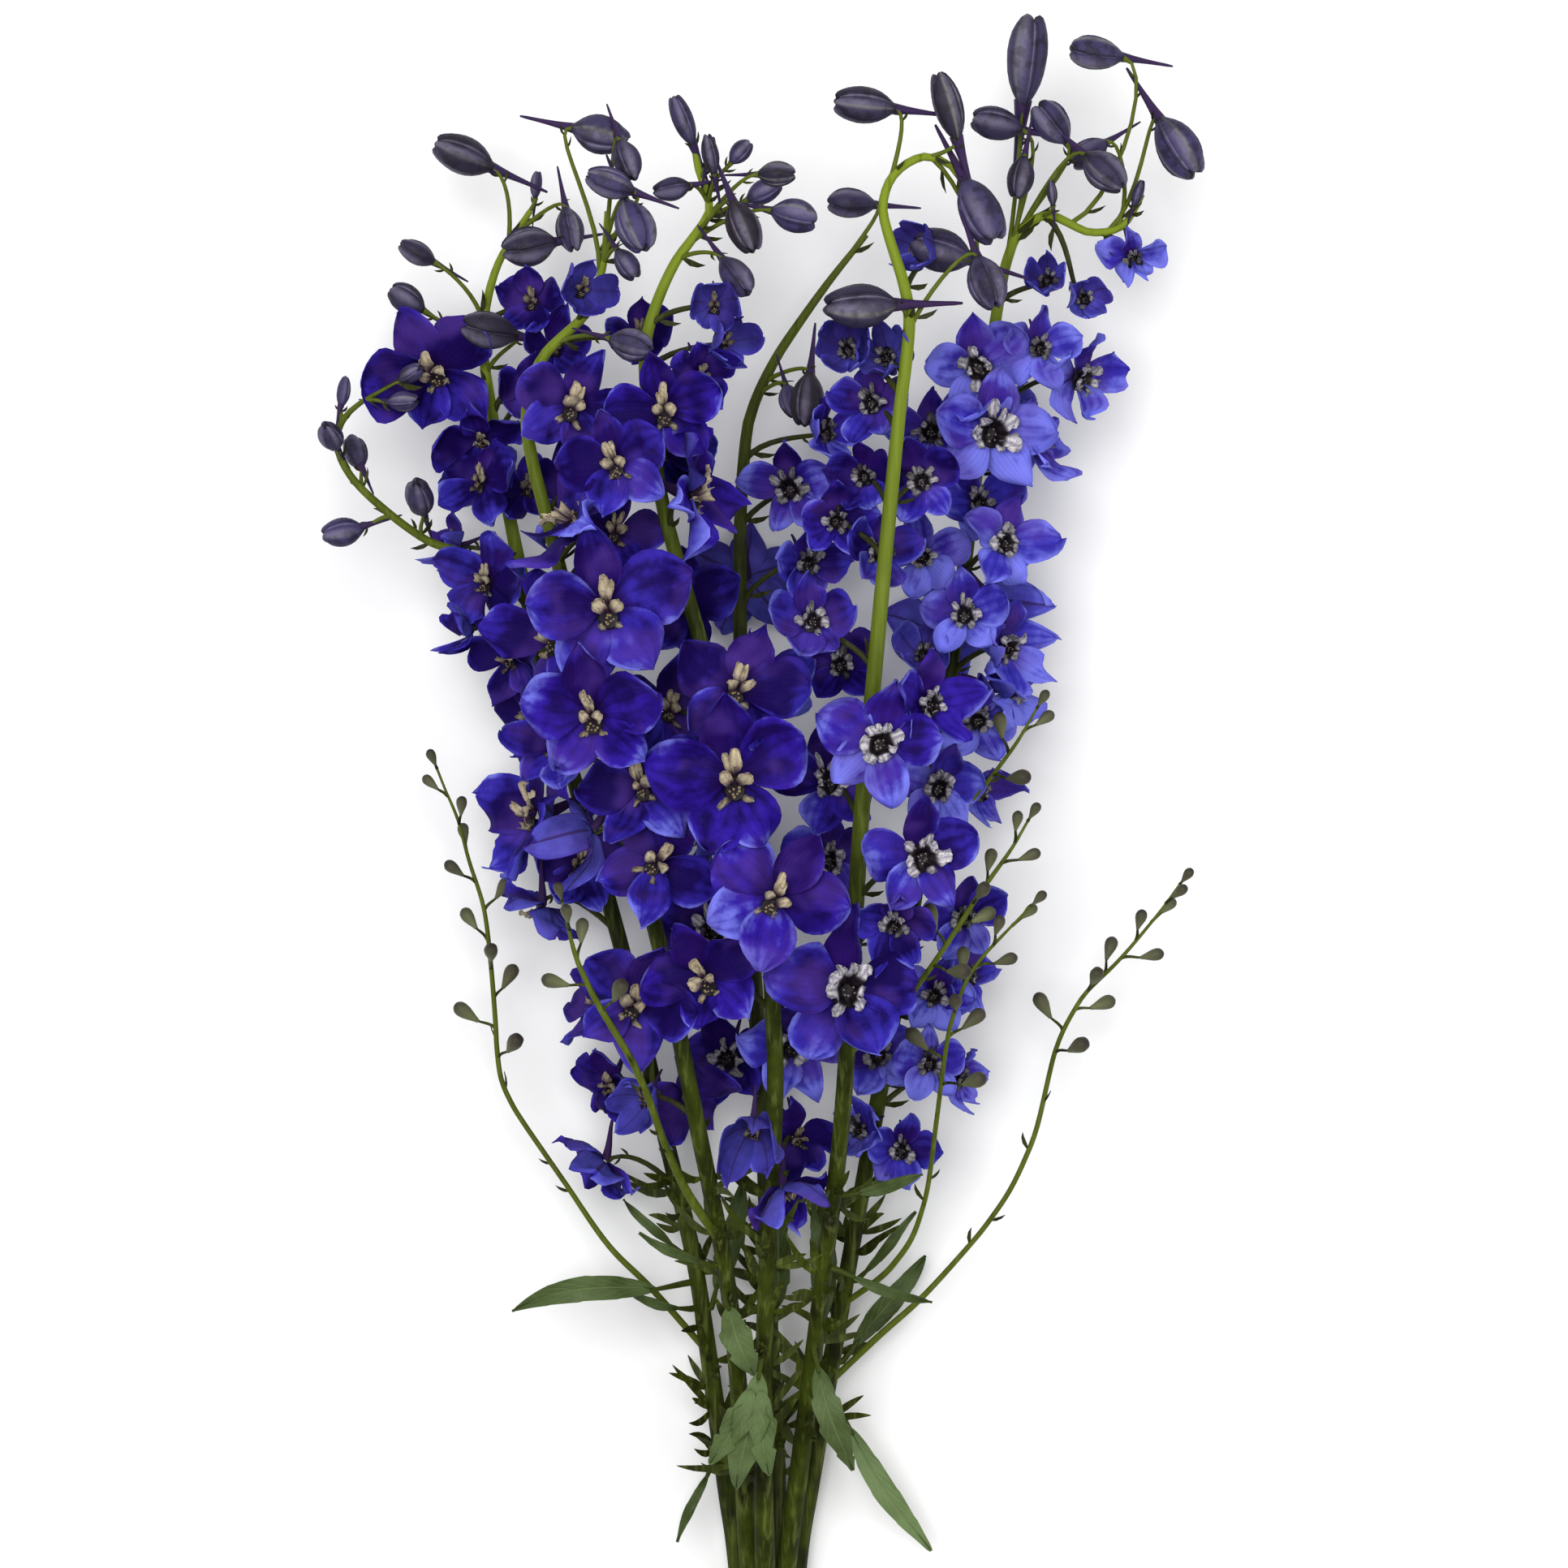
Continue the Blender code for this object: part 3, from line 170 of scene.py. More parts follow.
# For each stem, from the front of the bunch to the back: its line from the cut end to the tip;
# its open flowers that show from the front, as x, y, lift off the stem's line, the direction
# faced, roll, radius, and rise of the rim over the radius; its buds, as the neck's x, y and
# lift, the direction of the tip, and length; and how many flowers stand behind, and from where.
SPIKES = [
    Spike(
        "spike_front_right",
        [
            (5.0, -5, CUT_LOW + STACK_RISE), (4.8, 20, 12.7), *tied(4.35, 1),
            (8.5, 100, 22), (13, 134, 31), (20, 194, 52), (27, 254, 72), (31, 314, 88),
            (34.5, 374, 98), (39, 424, 104), (44, 478, 108), (48, 518, 110), (51.5, 552, 110),
            (46.5, 574, 108), (42, 591, 106), (46, 604, 104), (57, 611, 101), (67, 608, 97),
            (73, 599, 93),
        ],
        [
            (28, 310, 27, 0.1, 0.1, 1.0, 5, 29, 0.2), (40, 399, 27, 0.0, 0.05, 1.0, -15, 24, 0.25),
            (55, 358, 23, 0.1, 0.0, 1.0, -10, 23, 0.3), (58, 412, 12, 0.4, 0.2, 1.0, 0, 19, 0.45),
            (46, 334, 9, 0.2, -0.3, 1.0, 0, 17, 0.5), (16, 442, 0, 0.0, 0.1, 1.0, 0, 18, 0.55),
            (25, 480, -12, 0.2, -0.1, 1.0, 0, 16, 0.5), (39, 522, -15, -0.3, 0.0, 1.0, 0, 17, 0.5),
            (44, 538, -12, -0.2, 0.1, 1.0, 0, 14, 0.9), (36, 496, -16, -0.1, -0.1, 1.0, 0, 15, 0.6),
            (56, 494, -13, 0.2, 0.1, 1.0, 0, 17, 0.5), (30, 541, -14, -0.2, 0.1, 1.0, 0, 14, 0.8),
            (24, 385, -24, -0.2, 0.0, 1.0, 0, 21, 0.35), (40, 468, -14, 0.1, 0.1, 1.0, 0, 16, 0.5),
            (58, 578, -18, -0.3, 0.2, 0.8, 0, 13, 0.9),
        ],
        [
            (46, 628, 3, -1.0, 0.1, 0.1, 21), (69, 617, 6, -0.3, 1.0, 0.1, 24),
            (72, 602, 8, 0.5, -1.0, 0.2, 24), (74, 575, -6, -1.0, 0.3, 0.1, 22),
            (76, 573, 6, 0.35, -1.0, 0.2, 19), (46, 556, 8, -1.0, -0.05, 0.2, 25),
        ],
        (0, 250, 420),
    ),
    Spike(
        "spike_centre_left",
        [
            (0, -4, CUT_LOW + 2 * STACK_RISE), (0, 20, 20.7), *tied(0, 2),
            (-1, 100, 32), (-1.5, 148, 44), (0, 208, 60), (3, 268, 77), (0, 328, 90),
            (-10, 380, 96), (-22, 428, 98), (-36, 478, 98), (-43.5, 524, 96), (-43, 549, 94),
            (-33, 574, 92), (-21, 592, 90), (-25, 608, 88), (-27.5, 624, 86),
        ],
        [
            (-12, 386, 30, 0.0, 0.0, 1.0, 2, 31, 0.16), (3, 343, 29, 0.05, -0.1, 1.0, -25, 27, 0.2),
            (-37, 518, 24, 0.1, 0.05, 1.0, 10, 22, 0.4),
            (-11, 418, 15, 0.3, 0.3, 1.0, -15, 27, 0.25),
            (-28, 488, 15, 0.8, 0.1, 0.3, -60, 27, 0.3), (-19, 557, 14, 0.1, 0.0, 1.0, 0, 13, 0.8),
            (-16, 543, 8, 0.4, -0.1, 1.0, 0, 13, 0.8), (-24, 532, 9, 0.2, -0.1, 1.0, 0, 16, 0.6),
            (-5, 259, 20, 0.1, -0.55, 0.7, 0, 17, 0.9), (6, 236, 6, 0.1, -0.8, 0.1, 0, 19, 0.5),
            (-22, 314, 16, -0.1, -0.1, 1.0, 20, 23, 0.25),
            (-38, 506, -16, 0.3, 0.0, 1.0, 0, 19, 0.4),
            (-32, 450, -20, 0.2, 0.1, 1.0, 0, 22, 0.3), (11, 253, -26, 0.3, -0.4, 1.0, 0, 17, 0.5),
            (-36, 411, -15, 0.1, 0.0, 1.0, 0, 20, 0.4),
        ],
        [
            (-27, 617, 2, -0.4, 1.0, 0.1, 18), (-22, 609, 6, 0.2, 1.0, 0.2, 10),
            (-13, 610, 2, 0.7, 0.8, 0.0, 10), (-3, 606, 0, 1.0, 0.0, 0.1, 13),
            (-12, 594, 14, 0.4, -1.0, 0.2, 19), (2, 592, 6, 1.0, -0.25, 0.0, 16),
            (-7, 597, -4, 0.8, 0.4, 0.0, 13), (-16, 574, 10, 0.5, -0.7, 0.2, 16),
            (-28, 601, 9, -1.0, -0.2, 0.1, 13), (-19, 605, 12, -0.2, 1.0, 0.3, 14),
        ],
        (1, 270, 420),
    ),
    Spike(
        "spike_left",
        [
            (-5.0, 1, CUT_LOW + STACK_RISE), (-4.8, 20, 12.7), *tied(-4.35, 1),
            (-7.5, 100, 21), (-10, 148, 33), (-15, 200, 50), (-26, 260, 70), (-38, 320, 86),
            (-52, 374, 96), (-66.5, 428, 101), (-79, 478, 102), (-87, 515, 101), (-80, 540, 99),
            (-66, 554, 97), (-59, 575, 95), (-58, 592, 92),
        ],
        [
            (-57, 447, 30, 0.0, 0.05, 1.0, 8, 31, 0.16),
            (-70, 520, 25, 0.3, 0.15, 1.0, -25, 24, 0.35),
            (-62, 409, 22, -0.15, -0.2, 1.0, 8, 28, 0.2),
            (-39, 356, 24, 0.0, -0.1, 1.0, -28, 27, 0.2),
            (-45, 383, 17, -0.1, 0.0, 1.0, 10, 26, 0.2),
            (-54, 498, 26, 0.0, 0.1, 1.0, 10, 21, 0.45),
            (-67, 562, 17, 0.2, 0.1, 1.0, 0, 14, 0.8),
            (-48, 304, 24, -0.1, -0.1, 1.0, -15, 27, 0.2),
            (-69, 477, 17, -0.5, 0.55, 0.3, 60, 28, 0.3),
            (-76, 436, 8, -0.6, 0.0, 1.0, 0, 25, 0.25),
            (-44, 268, 10, -0.4, -0.3, 0.6, 0, 15, 0.8), (-47, 548, -20, 0.2, 0.2, 1.0, 0, 15, 0.6),
            (-30, 268, -24, 0.1, -0.3, 1.0, 0, 18, 0.4),
            (-77, 397, -16, -0.3, 0.0, 1.0, 0, 18, 0.4),
            (-55, 475, -4, 0.0, 0.1, 1.0, 0, 21, 0.4), (-70, 494, -14, 0.1, 0.0, 1.0, 0, 17, 0.5),
        ],
        [
            (-70, 622, 4, 1.0, -0.25, 0.1, 20), (-53, 616, 6, 0.35, -1.0, 0.2, 15),
            (-48, 597, 10, -1.0, 0.35, 0.1, 18), (-51, 594, 16, 0.4, -1.0, 0.2, 19),
            (-56, 544, 16, 1.0, -0.3, 0.2, 15), (-54, 577, 8, 0.4, -0.6, 0.1, 12),
        ],
        (1, 270, 440),
    ),
    Spike(
        "spike_right",
        [
            (10.5, 3, CUT_LOW), (9.8, 20, CUT_LOW), *tied(STEM_PITCH, 0), (12, 95, 8.5),
            (16, 118, 10.5), (24, 164, 15), (34.5, 224, 23), (45, 284, 31), (55.5, 344, 37),
            (64.5, 398, 39), (72, 452, 40), (78, 500, 42), (83, 542, 45), (87, 568, 48),
            (93, 588, 50), (105, 595, 51), (118.5, 589, 51), (132, 591, 50), (139.5, 603, 48),
        ],
        [
            (82, 514, 26, 0.1, 0.05, 1.0, -15, 24, 0.35), (99, 510, 12, 0.8, 0.1, 0.6, 0, 18, 0.35),
            (78, 538, 21, -0.1, 0.1, 1.0, 10, 21, 0.45), (100, 545, 18, 0.2, -0.3, 1.0, 0, 16, 0.4),
            (115, 535, 6, 0.7, -0.2, 0.5, 0, 19, 0.3), (117, 564, 3, 0.4, -0.3, 0.8, 0, 11, 0.9),
            (104, 570, 7, 0.1, 0.1, 1.0, 0, 11, 0.9), (136, 581, -5, 0.1, -0.5, 0.8, 0, 13, 0.3),
            (87, 473, 20, 0.4, 0.2, 1.0, 0, 19, 0.4), (58, 468, 17, -0.2, 0.0, 1.0, 0, 18, 0.4),
            (78, 488, 9, 0.3, 0.3, 1.0, 0, 17, 0.5), (73, 446, 24, 0.0, 0.2, 1.0, 0, 18, 0.5),
            (88, 435, 12, 0.6, 0.0, 0.8, 0, 18, 0.5), (58, 431, 13, -0.2, 0.3, 0.8, 0, 15, 0.9),
            (78, 408, 20, 0.2, 0.0, 1.0, 0, 19, 0.35), (88, 419, 6, 0.9, 0.2, 0.4, 0, 19, 0.3),
            (63, 383, 23, 0.0, -0.3, 1.0, 0, 19, 0.4), (79, 382, 10, 0.5, -0.2, 0.8, 0, 15, 0.6),
            (73, 334, 19, 0.3, 0.0, 1.0, 0, 17, 0.4), (74, 312, 7, 0.6, -0.2, 0.7, 0, 16, 0.4),
            (60, 280, 18, 0.2, 0.0, 1.0, 0, 16, 0.45), (71, 274, 4, 0.8, -0.3, 0.4, 0, 13, 0.5),
            (50, 247, 20, 0.0, 0.0, 1.0, 0, 17, 0.55), (36, 254, 10, -0.5, 0.0, 0.8, 0, 13, 0.6),
            (90, 516, -30, 0.75, -0.1, -0.65, 0, 21, 0.3),
            (66, 440, -27, -0.3, -0.1, -0.9, 0, 22, 0.3),
            (42, 282, 10, -0.3, 0.0, 1.0, 0, 17, 0.4), (61, 514, 8, -0.2, 0.1, 1.0, 0, 18, 0.4),
            (62, 305, 14, 0.1, -0.1, 1.0, 0, 16, 0.45),
        ],
        [
            (95, 636, 2, 0.1, 1.0, 0.1, 32), (132, 654, 2, -1.0, 0.15, 0.1, 19),
            (146, 630, 6, 0.5, -0.85, 0.2, 24), (94, 626, 8, -1.0, 0.2, 0.1, 18),
            (111, 622, 4, -0.65, 0.8, 0.1, 17), (95, 615, 14, -0.2, -1.0, 0.1, 15),
            (106, 598, 6, -0.1, 1.0, 0.1, 9), (118, 616, 12, 0.75, -0.7, 0.2, 18),
            (126, 622, 4, -0.8, -0.5, 0.1, 15), (136, 598, 4, 0.3, 0.9, 0.2, 10),
        ],
        (2, 260, 500),
    ),
    Spike(
        "spike_far_left",
        [
            (-10.5, -2, CUT_LOW), (-9.8, 20, CUT_LOW), *tied(-STEM_PITCH, 0),
            (-12, 95, 8.5), (-15.5, 118, 10.5), (-22.5, 170, 16), (-28, 206, 20),
            (-39, 254, 27), (-52.5, 314, 33), (-69, 374, 37), (-84, 428, 38), (-96, 482, 38),
            (-104, 530, 39), (-106, 554, 40), (-100.5, 578, 40), (-88.5, 598, 38),
        ],
        [
            (-124, 538, 18, -0.15, -0.3, 1.0, 20, 26, 0.16),
            (-106, 513, 10, 0.0, -0.6, 0.5, 0, 18, 0.4),
            (-106, 496, 14, -0.4, 0.2, 0.7, 0, 18, 0.4),
            (-103, 459, 16, -0.5, 0.0, 0.8, 0, 20, 0.35),
            (-116, 473, 6, -0.9, 0.1, 0.4, 0, 14, 0.5), (-110, 442, 9, -0.8, 0.0, 0.5, 0, 14, 0.6),
            (-95, 431, 15, -0.6, -0.1, 0.7, 0, 18, 0.4), (-87, 408, 12, -0.7, 0.0, 0.6, 0, 18, 0.4),
            (-85, 372, 15, -0.85, 0.1, 0.3, 30, 28, 0.35),
            (-84, 338, 5, -0.3, -0.85, 0.2, 0, 20, 0.4),
            (-62, 302, 14, -0.7, 0.1, 0.6, 0, 19, 0.4), (-61, 242, 8, -0.75, -0.5, 0.1, 0, 19, 0.5),
            (-87, 563, 10, -0.2, 0.1, 1.0, 0, 15, 0.6), (-58, 272, 14, -0.3, -0.4, 0.8, 0, 18, 0.4),
            (-104, 506, -26, -0.75, -0.1, -0.65, 0, 21, 0.3),
            (-80, 420, -26, 0.4, -0.1, -0.9, 0, 22, 0.3),
            (-89, 529, 20, 0.1, 0.1, 1.0, 0, 15, 0.6), (-71, 354, 8, 0.2, 0.1, 1.0, 0, 19, 0.4),
            (-79, 545, 14, 0.3, 0.1, 1.0, 0, 15, 0.6), (-90, 494, 4, 0.3, 0.0, 1.0, 0, 16, 0.5),
        ],
        [
            (-103, 614, 3, -1.0, 0.42, 0.1, 22), (-79, 585, 14, -1.0, -0.2, 0.2, 19),
            (-124, 578, 6, -0.9, 0.5, 0.1, 14), (-128, 560, 8, -0.85, 0.55, 0.1, 14),
            (-75, 598, 10, 0.2, -1.0, 0.1, 16), (-93, 550, 16, -1.0, 0.2, 0.2, 20),
            (-87, 603, -4, 0.1, 1.0, 0.0, 10),
        ],
        (1, 260, 440),
    ),
    Spike(
        "spike_middle",
        [
            (0, -8, CUT_LOW), (0, 20, CUT_LOW), *tied(0, 0), (2, 95, 7.5), (3.5, 120, 8.5),
            (1, 178, 14), (-1.5, 254, 23), (-6, 328, 31), (-9, 388, 35), (-10, 434, 37),
            (-10, 482, 39), (-8, 512, 41), (-3, 530, 43), (7.5, 549, 45), (22.5, 570, 47),
            (37, 588, 49),
        ],
        [
            (9, 494, 14, -0.1, 0.0, 1.0, 0, 18, 0.45), (21, 514, 10, 0.4, 0.1, 0.8, 0, 15, 0.6),
            (-2, 420, 18, 0.2, 0.0, 1.0, 10, 20, 0.3), (14, 466, 8, 0.5, -0.1, 0.7, 0, 17, 0.5),
            (-19, 330, 18, -0.2, 0.0, 1.0, 0, 23, 0.25), (8, 288, 20, 0.2, -0.1, 1.0, 0, 22, 0.3),
            (-14, 282, 14, -0.3, -0.2, 1.0, 0, 20, 0.35),
            (-8, 462, -24, 0.2, -0.1, -1.0, 0, 22, 0.3),
            (23, 356, 4, 0.2, 0.0, 1.0, 0, 19, 0.4), (27, 428, 4, 0.2, 0.0, 1.0, 0, 17, 0.5),
        ],
        [
            (40, 599, 2, -1.0, 0.05, 0.1, 17), (16, 536, 8, -0.1, -1.0, 0.1, 19),
            (7, 532, 6, 0.3, -1.0, 0.1, 12),
        ],
        (1, 300, 400),
    ),
]

# Side shoots: the stem that each grows from, where on it (height along +Y, and angle round it
# from +X), its line after that, its buds, and how far along the first one stands.
SHOOTS = [
    Shoot(
        "shoot_left", "spike_far_left", 168, 170,
        [
            (-43.5, 193, 20), (-60, 210, 23), (-76.5, 234, 25), (-91.5, 256, 27), (-100, 273, 29),
            (-102, 295, 32), (-103.5, 316, 35), (-106, 337, 37), (-111.5, 355, 38),
            (-115.5, 370, 39), (-120.5, 382, 39), (-124, 391, 39),
        ],
        11, 0.55, "green_bud", 1.3,
    ),
    Shoot(
        "shoot_right", "spike_right", 156, 8,
        [
            (42, 175, 17), (58.5, 190, 19), (76.5, 210, 21), (91.5, 231, 24), (101.5, 255, 27),
            (106.5, 277, 29), (111, 291, 31), (120, 306, 33), (132, 318, 35), (145.5, 334, 36),
            (155, 347, 37),
        ],
        10, 0.66, "green_bud", 1.3,
    ),
    Shoot(
        "shoot_right_inner", "spike_right", 186, 30,
        [
            (42, 198, 30), (54, 214, 40), (60, 236, 53), (62.5, 259, 66), (66, 289, 79),
            (73.5, 313, 87), (85.5, 328, 90), (97, 340, 91),
        ],
        9, 0.58, "green_bud", 1.2,
    ),
    Shoot(
        "shoot_front_right", "spike_front_right", 284, 20,
        [
            (44, 296, 88), (54, 309, 93), (65, 325, 98), (76.5, 343, 101), (88.5, 360, 102),
            (95, 371, 102),
        ],
        8, 0.42, "green_bud", 1.3,
    ),
    Shoot(
        "shoot_far_right", "spike_right", 352, 25,
        [(69, 369, 53), (82, 385, 58), (93, 400, 60), (100, 412, 60)],
        4, 0.62, "green_bud", 1.1,
    ),
    Shoot(
        "shoot_front_left", "spike_left", 214, 140,
        [
            (-29, 233, 72), (-37, 252, 87), (-43, 270, 98), (-50, 286, 106), (-60.5, 304, 112),
            (-69, 323, 116), (-73.5, 342, 118),
        ],
        5, 0.72, "green_bud", 1.8,
    ),
    Shoot(
        "shoot_curled_left", "spike_far_left", 458, 165,
        [
            (-109, 468, 50), (-126, 474, 52), (-142.5, 486, 54), (-154.5, 498, 55),
            (-159.5, 510, 56), (-156, 520, 57), (-147, 527, 58), (-136, 533, 58),
        ],
        7, 0.34, "bud", 2.0,
    ),
]

# Leaves: the stem and the place on it, the tip's offset from there, how far the blade arches
# up, the angles of its lobes from the middle one, and a lobe's width.
LEAVES = [
    Leaf("leaf_arched_left", "spike_far_left", 196, 175, (-66, -8, 12), 16, (0,), 9.5),
    Leaf("leaf_long_right", "spike_right", 150, -20, (34, -58, 2), 6, (0,), 9),
    Leaf("leaf_front", "spike_centre_left", 176, 100, (-8, -53, 0), 14, (0, 14, -17), 14),
    Leaf("leaf_front_right", "spike_front_right", 176, 110, (13, -48, -2), 12, (0,), 11.5),
    Leaf("leaf_upright_right", "spike_right", 164, -22, (31, 42, -5), 2, (0,), 8.5),
    Leaf("leaf_centre", "spike_left", 196, 115, (10, -32, 4), 10, (0,), 12.5),
    Leaf("leaf_narrow_left", "spike_left", 205, 170, (-28, 13, 4), 10, (0,), 3.8),
    Leaf("leaf_narrow_right", "spike_front_right", 204, 10, (36, -14, 0), 6, (0,), 4),
    Leaf("leaf_small_right", "spike_front_right", 232, -5, (30, 6, -4), 6, (0,), 4.8),
    Leaf("leaf_low_left", "spike_far_left", 128, 150, (-14, -30, 4), 4, (0,), 3.6),
    Leaf("leaf_inner_right", "spike_middle", 178, 60, (4, 50, 10), 5, (0,), 10),
    Leaf("leaf_inner_left", "spike_far_left", 184, 25, (12, 50, 8), 5, (0,), 10),
    Leaf("leaf_inner_far_right", "spike_right", 172, 150, (-4, 56, 8), 5, (0,), 10),
    Leaf("leaf_wisp_left", "spike_far_left", 206, 172, (-22, 22, 2), 8, (0,), 3.6),
    Leaf("leaf_wisp_low", "spike_far_left", 186, 150, (-26, 6, 2), 14, (0,), 3.6),
    Leaf("leaf_wisp_right", "spike_right", 196, 20, (24, 26, 4), 6, (0,), 3.8),
]

# What is tried in turn until a flower stands clear: for one that shows from the front, a shift
# along Z in millimetres and a scale; for one behind, a turn round the stem and a reach.
SHIFTS = [
    (0, 1.0), (-4, 1.0), (4, 1.0), (-8, 1.0), (8, 1.0), (-12, 0.95), (12, 0.95),
    (-16, 0.9), (0, 0.85), (-8, 0.85), (8, 0.85), (-20, 0.8),
]
TURNS = [(0, 1.0), (14, 1.0), (-14, 1.0), (0, 0.8), (28, 0.9), (-28, 0.9), (0, 1.25), (0, 0.65)]


# The plan: lines, and where each flower stands.

def clamp(value, low=0.0, high=1.0):
    return min(max(value, low), high)


def grown(measure, share, chance=0.0):
    """A measure that changes along its stem or shoot, and by chance."""
    start, change, stray = measure
    return start + change * share + stray * chance


def with_ends(points):
    """The points, with one more beyond each end."""
    return [2 * points[0] - points[1]] + points + [2 * points[-1] - points[-2]]


def smooth(points):
    """A Catmull-Rom line through points in millimetres, with a point added where it bends."""
    points = [Vector(p) * MM for p in points]
    ends = with_ends(points)
    line = []
    for a, b, c, d in zip(ends, ends[1:], ends[2:], ends[3:]):
        line.append(b)
        if (b - a).angle(d - c) > SHARP_BEND:
            line.append((9 * (b + c) - a - d) / 16)
    return line + [points[-1]]


class Line:
    """A line of points, read by the distance along it, with a radius that tapers to its tip."""

    def __init__(self, points, foot_radius, tip_radius):
        self.points = points
        self.foot_radius = foot_radius
        self.tip_radius = tip_radius
        self.along = [0.0]
        for a, b in zip(points, points[1:]):
            self.along.append(self.along[-1] + (b - a).length)
        self.length = self.along[-1]

    def at(self, s):
        """The point at distance s, and the direction of the line there."""
        s = clamp(s, 0.0, self.length)
        i = next(k for k, end in enumerate(self.along[1:]) if s <= end + ALMOST)
        a, b = self.points[i], self.points[i + 1]
        return a.lerp(b, (s - self.along[i]) / (b - a).length), (b - a).normalized()

    def radius(self, s):
        share = clamp(s / self.length)
        full = self.foot_radius + (self.tip_radius - self.foot_radius) * share**TAPER_POWER
        return full * (1 - ABOVE_TIE_SLIMMING * clamp((share - SLIM_FROM) / SLIM_OVER))

    def samples(self, step):
        """Distances along the line, a step apart."""
        return [i * step for i in range(int(self.length / step) + 1)]

    def distance_at_y(self, y):
        return next(s for s in self.samples(STEP_ALONG_Y) if self.at(s)[0].y >= y)

    def distance_nearest(self, x, y):
        """The distance along the line where it is nearest to x, y, seen from above."""
        near = Vector((x, y))
        return min(self.samples(STEP_NEAREST), key=lambda s: (self.at(s)[0].xy - near).length)

    def side(self, s, degrees):
        """The direction out of the line at distance s: 0 is towards +X and 90 towards +Z."""
        forward = self.at(s)[1]
        across = forward.cross(Vector((0, 0, 1))).normalized()
        rise = across.cross(forward)
        return across * math.cos(math.radians(degrees)) + rise * math.sin(math.radians(degrees))


def shoot_line(shoot, lines):
    """A side shoot's line, which starts a small gap off its parent's surface."""
    parent = lines[shoot.parent]
    s = parent.distance_at_y(shoot.foot_y * MM)
    out = parent.side(s, shoot.foot_side)
    foot = parent.at(s)[0] + out * (parent.radius(s) + SEAT_GAP)
    start = (foot + out * SHOOT_START * MM) / MM
    return Line([foot] + smooth([start] + shoot.path), shoot.radius * MM, SHOOT_TIP_RADIUS)


def upright(facing, roll=0.0):
    """The direction of a flower's upper sepal: towards +Y, rolled about the way it faces."""
    wanted = Vector((-math.sin(math.radians(roll)), math.cos(math.radians(roll)), UPWARD))
    return (wanted - facing * facing.dot(wanted)).normalized()


def foot_for(line, centre):
    """Where on its stem a flower's pedicel starts, some way below the flower."""
    near = line.distance_nearest(centre.x, centre.y)
    reach = (line.at(near)[0] - centre).length
    return line.at(max(near - FOOT_DROP * reach, 0.0))[0]


def lifted(line, x, y, lift):
    """The point at x, y in millimetres that is lifted off the line where that passes nearest."""
    near = line.distance_nearest(x * MM, y * MM)
    return Vector((x * MM, y * MM, line.at(near)[0].z + lift * MM))


def front_flower(spike, line, row, shift, scale):
    x, y, lift, *lean, roll, radius, cup = row
    centre = lifted(line, x, y, lift + shift)
    centre.z = max(centre.z, LOWEST_CENTRE)
    facing = Vector(lean).normalized()
    base = foot_for(line, centre)
    upward = upright(facing, roll)
    return Flower(spike.name, "open", base, centre, facing, upward, radius * scale * MM, cup)


def front_bud(spike, line, row, shift, scale):
    x, y, lift, *tip, length = row
    centre = lifted(line, x, y, lift + shift)
    facing = Vector(tip).normalized()
    upward = (Vector((0, 0, -1)) + facing * facing.z).normalized()
    base = foot_for(line, centre)
    return Flower(spike.name, "bud", base, centre, facing, upward, length * scale * MM, 0.0)


def back_flower(spike, line, i, turn, reach, chance):
    """Flower i of those behind the stem, which the spiral's turns keep on the far side."""
    count, start, end = spike.behind
    share = (i + 0.5) / count
    s = line.distance_at_y((start + (end - start) * share) * MM)
    point, forward = line.at(s)
    size = SEPAL_LENGTH * grown(BACK_SIZE, share, chance[0])
    length = PEDICEL_LENGTH * reach * grown(BACK_REACH, share, chance[1])

    def end_of_pedicel(angle):
        out = line.side(s, angle) * math.cos(PEDICEL_RISE) + forward * math.sin(PEDICEL_RISE)
        return point + out * length

    angle = BACK_START + (i * GOLDEN_ANGLE) % BACK_ARC + turn
    while end_of_pedicel(angle).z < LOWEST_CENTRE:
        angle += math.copysign(TURN_OFF_FLOOR, angle - STRAIGHT_DOWN)
    facing = (line.side(s, angle) - forward * grown(BACK_DROOP, share, chance[2])).normalized()
    upward = (forward - facing * forward.dot(facing)).normalized()
    cup = grown(BACK_CUP, share)
    return Flower(spike.name, "open", point, end_of_pedicel(angle), facing, upward, size, cup)


def shoot_bud(shoot, line, i, rng):
    """Bud i of a side shoot, in a spiral on short thin pedicels, the last one at the tip."""
    share = i / (shoot.buds - 1)
    s = line.length * (shoot.first + (1 - shoot.first) * share * LAST_BUD)
    point, forward = line.at(s)
    bud, pedicel = GREEN_BUD if shoot.kind == "green_bud" else VIOLET_BUD
    size = bud * grown(SHOOT_BUD_SIZE, share) * MM
    length = pedicel * grown(SHOOT_PEDICEL, share) * rng.uniform(*SHOOT_PEDICEL_CHANCE) * MM
    angle = SHOOT_TURN + i * GOLDEN_ANGLE + rng.uniform(-SHOOT_STRAY, SHOOT_STRAY)
    if i == shoot.buds - 1:
        angle, length = STRAIGHT_UP, TIP_PEDICEL * MM
    rise = math.radians(grown(SHOOT_RISE, share))
    way = line.side(s, angle) * math.cos(rise) + forward * math.sin(rise)
    facing = (way + forward * SHOOT_FORWARD + Vector((0, 0, UPWARD))).normalized()
    return Flower(
        shoot.name, shoot.kind, point, point + way * length, facing, upright(facing), size, 0.0
    )


